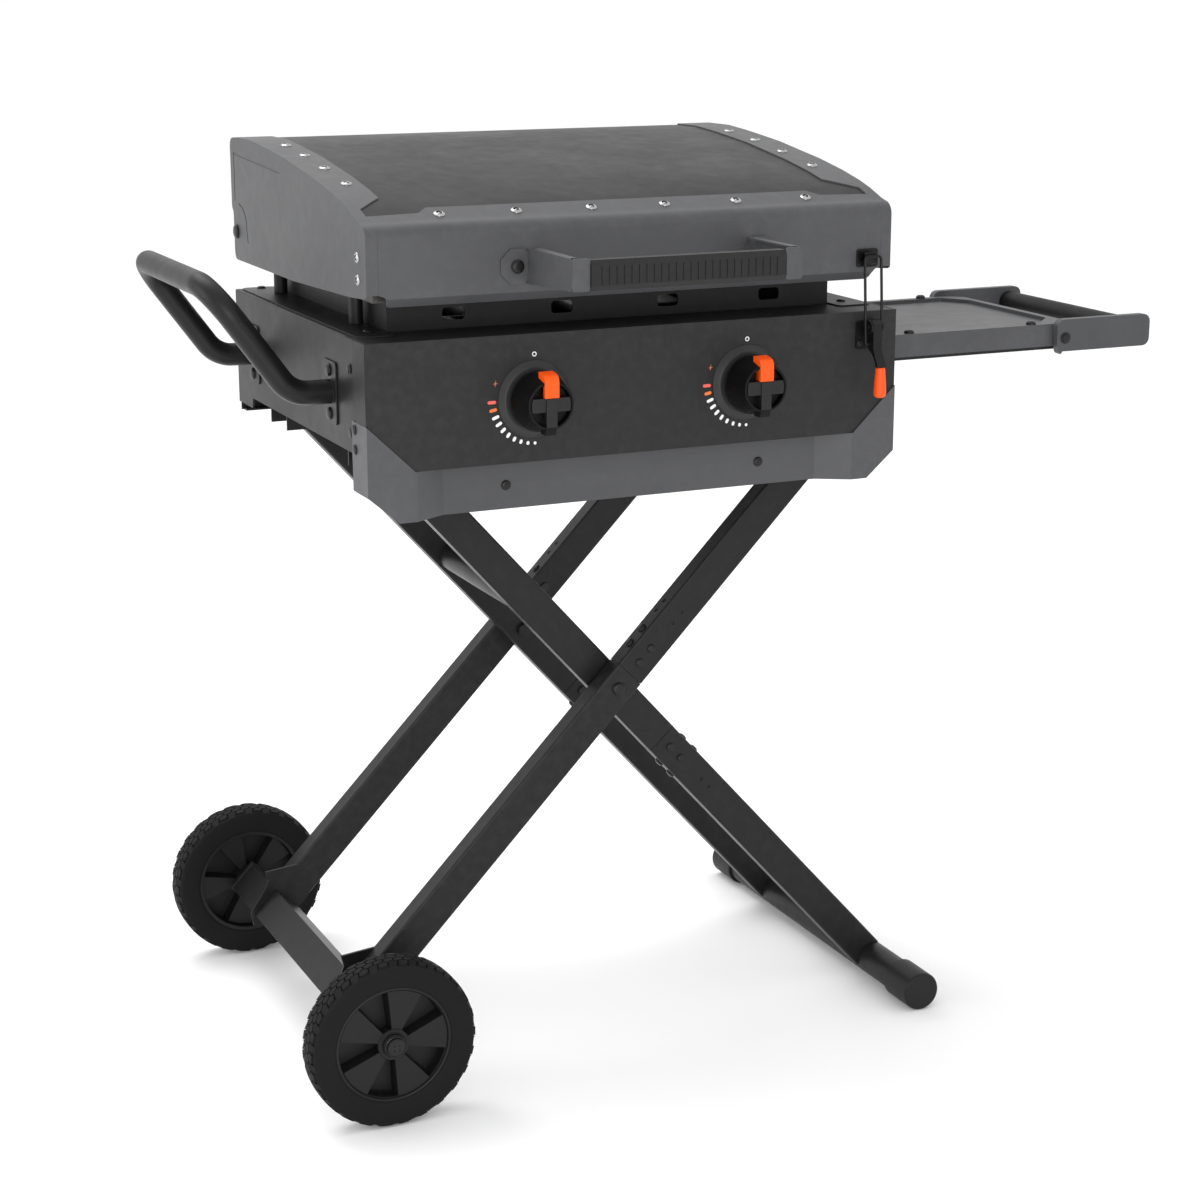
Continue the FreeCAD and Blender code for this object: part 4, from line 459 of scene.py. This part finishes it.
# ---------------------------------------------------------------------- knobs
def build_knob(tag, kx):
    """Knob: tapered skirt with a proud rim, a sunken face, a cross band and an upright grip that ends in a toe over the skirt."""
    kz = 746.6
    bm = bmesh.new()
    prof = [(6.0, -12.2), (30.9, -12.2), (31.2, -14.0), (31.2, -16.0), (30.6, -19.0), (25.1, -40.0), (24.8, -43.4), (24.2, -44.5), (23.0, -44.7), (22.1, -44.2),
            (21.8, -43.0), (21.4, -36.4), (6.0, -36.0)]
    n = 96
    rows = [[bm.verts.new(P(kx + r * math.cos(2 * math.pi * i / n), y, kz + r * math.sin(2 * math.pi * i / n))) for r, y in prof] for i in range(n)]
    for i in range(n):
        a, b = rows[i], rows[(i + 1) % n]
        for j in range(len(prof)):
            k = (j + 1) % len(prof)
            bm.faces.new((a[j], b[j], b[k], a[k]))
    # toe of the grip, over the skirt, in the skirt's darker plastic as painted shade under the grip
    toe = [(-5.85, -30.5), (5.85, -30.5), (5.85, -21.6), (-5.85, -21.6)]
    add_prism(bm, toe, lambda x, z: P(kx + x, -29.0, kz + z), lambda x, z: P(kx + x, -45.2 if z > -25 else -42.0, kz + z))
    dark = len(bm.faces)
    # cross band, cut to the round of the face
    pts = []
    for a0, a1 in ((-17.8, 21.3), (158.7, 197.8)):
        for i in range(9):
            t = math.radians(a0 + (a1 - a0) * i / 8)
            pts.append((21.35 * math.cos(t), 21.35 * math.sin(t)))
    add_prism(bm, pts, lambda x, z: P(kx + x, -35.8, kz + z), lambda x, z: P(kx + x, -44.4, kz + z))
    grip = [(-5.85, -22.0), (5.85, -22.0), (5.85, 7.7), (-5.85, 7.7)]
    add_prism(bm, grip, lambda x, z: P(kx + x, -35.8, kz + z), lambda x, z: P(kx + x, -46.0, kz + z))
    up = [(-7.7, 6.0), (7.7, 6.0), (7.7, 19.6), (-7.7, 19.6)]
    add_prism(bm, up, lambda x, z: P(kx + x, -35.8, kz + z), lambda x, z: P(kx + x, -41.8, kz + z))
    # skirt, sunken face and toe in the darker plastic (on the toe it is painted shade); band and grip in the black
    # plastic
    bm.faces.ensure_lookup_table()
    for i, f in enumerate(bm.faces):
        f.material_index = 0 if i < dark else 1
    o = piece("knob_grip_" + tag, bm, KNOB_DARK_AND_TOE_SHADE, "dial_" + tag, smooth=True, width=0.0005, angle=30.0, seg=2)
    o.data.materials.append(MATS["plastic_black"])
    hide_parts("knob_" + tag)
    return o


build_knob("left", -121.25)
build_knob("right", 121.25)


# ---------------------------------------------------------------------- tyres
def build_tyre(tag, yc, n_out):
    c = P(-303.25, yc, 89.47)
    prof = [(62.9, -14.4), (64.2, -15.9), (66.5, -16.7), (69.0, -16.6), (70.2, -17.0), (75.5, -17.45), (82.0, -17.45), (85.4, -17.3), (87.2, -16.7),
            (88.2, -15.6), (88.5, -13.5), (88.4, -11.0), (88.6, -6.0), (88.8, -2.0)]
    prof = prof + [(r, -y) for r, y in prof[::-1]]
    n = 144
    bm = bmesh.new()
    rows = []
    for i in range(n):
        t = 2 * math.pi * i / n
        rows.append([bm.verts.new((c.x + r / 1000 * math.cos(t), c.y + y / 1000, c.z + r / 1000 * math.sin(t))) for r, y in prof])
    m = len(prof)
    for i in range(n):
        a, b = rows[i], rows[(i + 1) % n]
        for j in range(m):
            k = (j + 1) % m
            bm.faces.new((a[j], b[j], b[k], a[k]))

    def crown(y):
        y = abs(y)
        return 91.40 - 0.003 * y * y - (0.17 * (y - 13.0) ** 2 if y > 13.0 else 0.0)

    def lug(t0, pts, deep=2.9):
        # outline in millimetres along and across the tread, skewed into a shallow arrow
        def top(s, y):
            r = crown(y)
            t = t0 + (s + 0.33 * abs(y)) / 91.0
            return (c.x + r / 1000 * math.cos(t), c.y + y / 1000, c.z + r / 1000 * math.sin(t))

        def low(s, y):
            r = crown(y) - deep
            t = t0 + (s + 0.33 * abs(y)) / 91.0
            return (c.x + r / 1000 * math.cos(t), c.y + y / 1000, c.z + r / 1000 * math.sin(t))
        add_prism(bm, pts, low, top)

    # four rows of six-sided blocks, packed like bricks with narrow grooves between them;
    # every second block of the outer rows runs on down the shoulder
    k_n = 52
    pitch = 2 * math.pi * 91.0 / k_n
    hw = pitch / 2 - 0.62
    for k in range(k_n):
        t = 2 * math.pi * k / k_n
        for sg in (-1, 1):
            off = 0.0 if sg < 0 else pitch / 2
            lug(t, [(s_ + off, sg * (3.75 + y_)) for s_, y_ in ((-hw, 2.1), (0.0, 4.35), (hw, 2.1), (hw, -2.1), (0.0, -4.35), (-hw, -2.1))])
            if k % 2:
                outer = ((-hw, 2.6), (-hw + 0.5, 3.5), (hw - 0.5, 3.5), (hw, 2.6), (hw, -2.1), (0.0, -4.35), (-hw, -2.1))
            else:
                outer = ((-hw, 2.6), (-hw + 0.9, 5.9), (hw - 0.9, 5.9), (hw, 2.6), (hw, -2.1), (0.0, -4.35), (-hw, -2.1))
            lug(t, [(s_ + off + pitch / 2, sg * (11.25 + y_)) for s_, y_ in outer])
    o = piece("tyre_tread_" + tag, bm, MATS["tyre_rubber"], "wheel_" + tag, smooth=True, width=0.00020, angle=35.0, seg=1)
    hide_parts("tyre_" + tag)
    return o


def build_rim(tag, yc, n_out):
    """Wheel centre: a pressed disc of five raised and five sunken sectors, with its hub and its ring."""
    c = P(-303.25, yc, 89.47)

    def pt(r, t, h):
        return (c.x + r / 1000 * math.cos(t), c.y + n_out * h / 1000, c.z + r / 1000 * math.sin(t))

    bm = bmesh.new()
    # angles and heights of the sector edges, with steep walls between
    stops = []
    for k in range(5):
        t = 76.5 + 72.0 * k
        for d in (-18.6, -12.4, -6.2, 0.0, 6.2, 12.4, 18.6):
            stops.append((t + d, 1))
        for d in (20.6, 25.8, 30.9, 36.0, 41.1, 46.2, 51.4):
            stops.append((t + d, 0))
    radii = (14.5, 17.2, 28.0, 40.0, 50.0, 57.6, 59.3)
    sheets = []
    for lift in (0.0, -2.4):
        grid = []
        for t, up in stops:
            row = []
            for i, r in enumerate(radii):
                # straight-sided sectors: the edge is drawn in a little towards the hub
                h = 12.6 if up else -3.2
                if not up and r > 57.0:
                    h = -3.2 + (r - 57.6) * 2.0
                row.append(bm.verts.new(pt(r, math.radians(t), h + lift)))
            grid.append(row)
        sheets.append(grid)
    n = len(stops)
    for g in sheets:
        for i in range(n):
            a, b = g[i], g[(i + 1) % n]
            for j in range(len(radii) - 1):
                bm.faces.new((a[j], b[j], b[j + 1], a[j + 1]))
    for i in range(n):
        k = (i + 1) % n
        bm.faces.new((sheets[0][i][0], sheets[0][k][0], sheets[1][k][0], sheets[1][i][0]))
        bm.faces.new((sheets[0][i][-1], sheets[0][k][-1], sheets[1][k][-1], sheets[1][i][-1]))

    def ring(prof, m=96):
        rows = [[bm.verts.new(pt(r, 2 * math.pi * i / m, h)) for r, h in prof] for i in range(m)]
        for i in range(m):
            a, b = rows[i], rows[(i + 1) % m]
            for j in range(len(prof)):
                k = (j + 1) % len(prof)
                bm.faces.new((a[j], b[j], b[k], a[k]))

    # outer ring that seats the tyre, with a groove round the sectors
    ring([(59.0, -14.0), (60.2, -14.6), (63.0, -14.6), (63.0, 14.6), (61.6, 15.0), (60.4, 14.4), (60.0, 12.6), (59.0, 11.4)], 120)
    # hub with its two steps
    ring([(6.1, -17.4), (12.0, -17.4), (13.4, -16.0), (14.2, -3.0), (17.0, 4.0), (17.3, 12.9), (16.5, 13.9), (13.3, 13.9), (12.9, 13.5), (12.3, 13.5),
          (11.9, 16.2), (11.2, 17.0), (6.1, 17.0)], 64)
    o = piece("rim_disc_" + tag, bm, MATS["rim_plastic"], "wheel_" + tag, smooth=True, width=0.0005, angle=30.0, seg=2)
    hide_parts("rim_" + tag)
    return o


build_tyre("front", -49.6 + 17.55, -1)
build_tyre("rear", 464.5 + 17.55, 1)
build_rim("front", -49.6 + 17.55, -1)
build_rim("rear", 464.5 + 17.55, 1)

# --------------------------------------------------------------- floor and light
def make_floor():
    bm = bmesh.new()
    bmesh.ops.create_grid(bm, x_segments=8, y_segments=8, size=60.0)
    me = bpy.data.meshes.new("floor")
    bm.to_mesh(me)
    bm.free()
    o = bpy.data.objects.new("floor", me)
    bpy.context.scene.collection.objects.link(o)
    o.location.z = -0.0002
    m = Mat("floor_pale")
    base = m.ramp(m.noise(0.6, 2.0, 0.5), [(0.3, (0.972, 0.972, 0.972)), (0.7, (0.98, 0.98, 0.98))])
    m.link(base, m.b.inputs["Base Color"])
    m.b.inputs["Roughness"].default_value = 0.9
    m.b.inputs["Specular IOR Level"].default_value = 0.1
    me.materials.append(m.m)
    return o


make_floor()
w = bpy.data.worlds.new("studio")
bpy.context.scene.world = w
w.use_nodes = True
w.node_tree.nodes["Background"].inputs["Color"].default_value = (1.0, 1.0, 1.0, 1.0)
w.node_tree.nodes["Background"].inputs["Strength"].default_value = 1.04


def area(name, loc, target, size, power, size_y=None):
    d = bpy.data.lights.new(name, "AREA")
    d.shape = "RECTANGLE"
    d.size = size
    d.size_y = size_y or size
    d.energy = power
    o = bpy.data.objects.new(name, d)
    bpy.context.scene.collection.objects.link(o)
    o.location = loc
    o.rotation_euler = (Vector(target) - Vector(loc)).to_track_quat("-Z", "Y").to_euler()
    return o


area("high", (-0.9, 1.3, 3.5), (0, 0.1, 0.7), 2.4, 56)
area("front", (-1.2, -3.6, 0.9), (0, 0, 0.7), 2.0, 40)
area("left", (-3.4, 0.4, 1.3), (-0.2, 0.0, 0.7), 2.0, 27)

# ----------------------------------------------------------------------- camera
cam_d = bpy.data.cameras.new("camera")
cam = bpy.data.objects.new("camera", cam_d)
bpy.context.scene.collection.objects.link(cam)
cam_d.sensor_width = 36.0
cam_d.lens = 2482.9 / 1200.0 * 36.0
cam.location = P(-1088.5, -2294.7, 1189.0)
fwd = Vector((0.3994, 0.8809, -0.2539))
cam.rotation_euler = fwd.to_track_quat("-Z", "Y").to_euler()
bpy.context.scene.camera = cam
bpy.context.scene.view_settings.view_transform = "Standard"
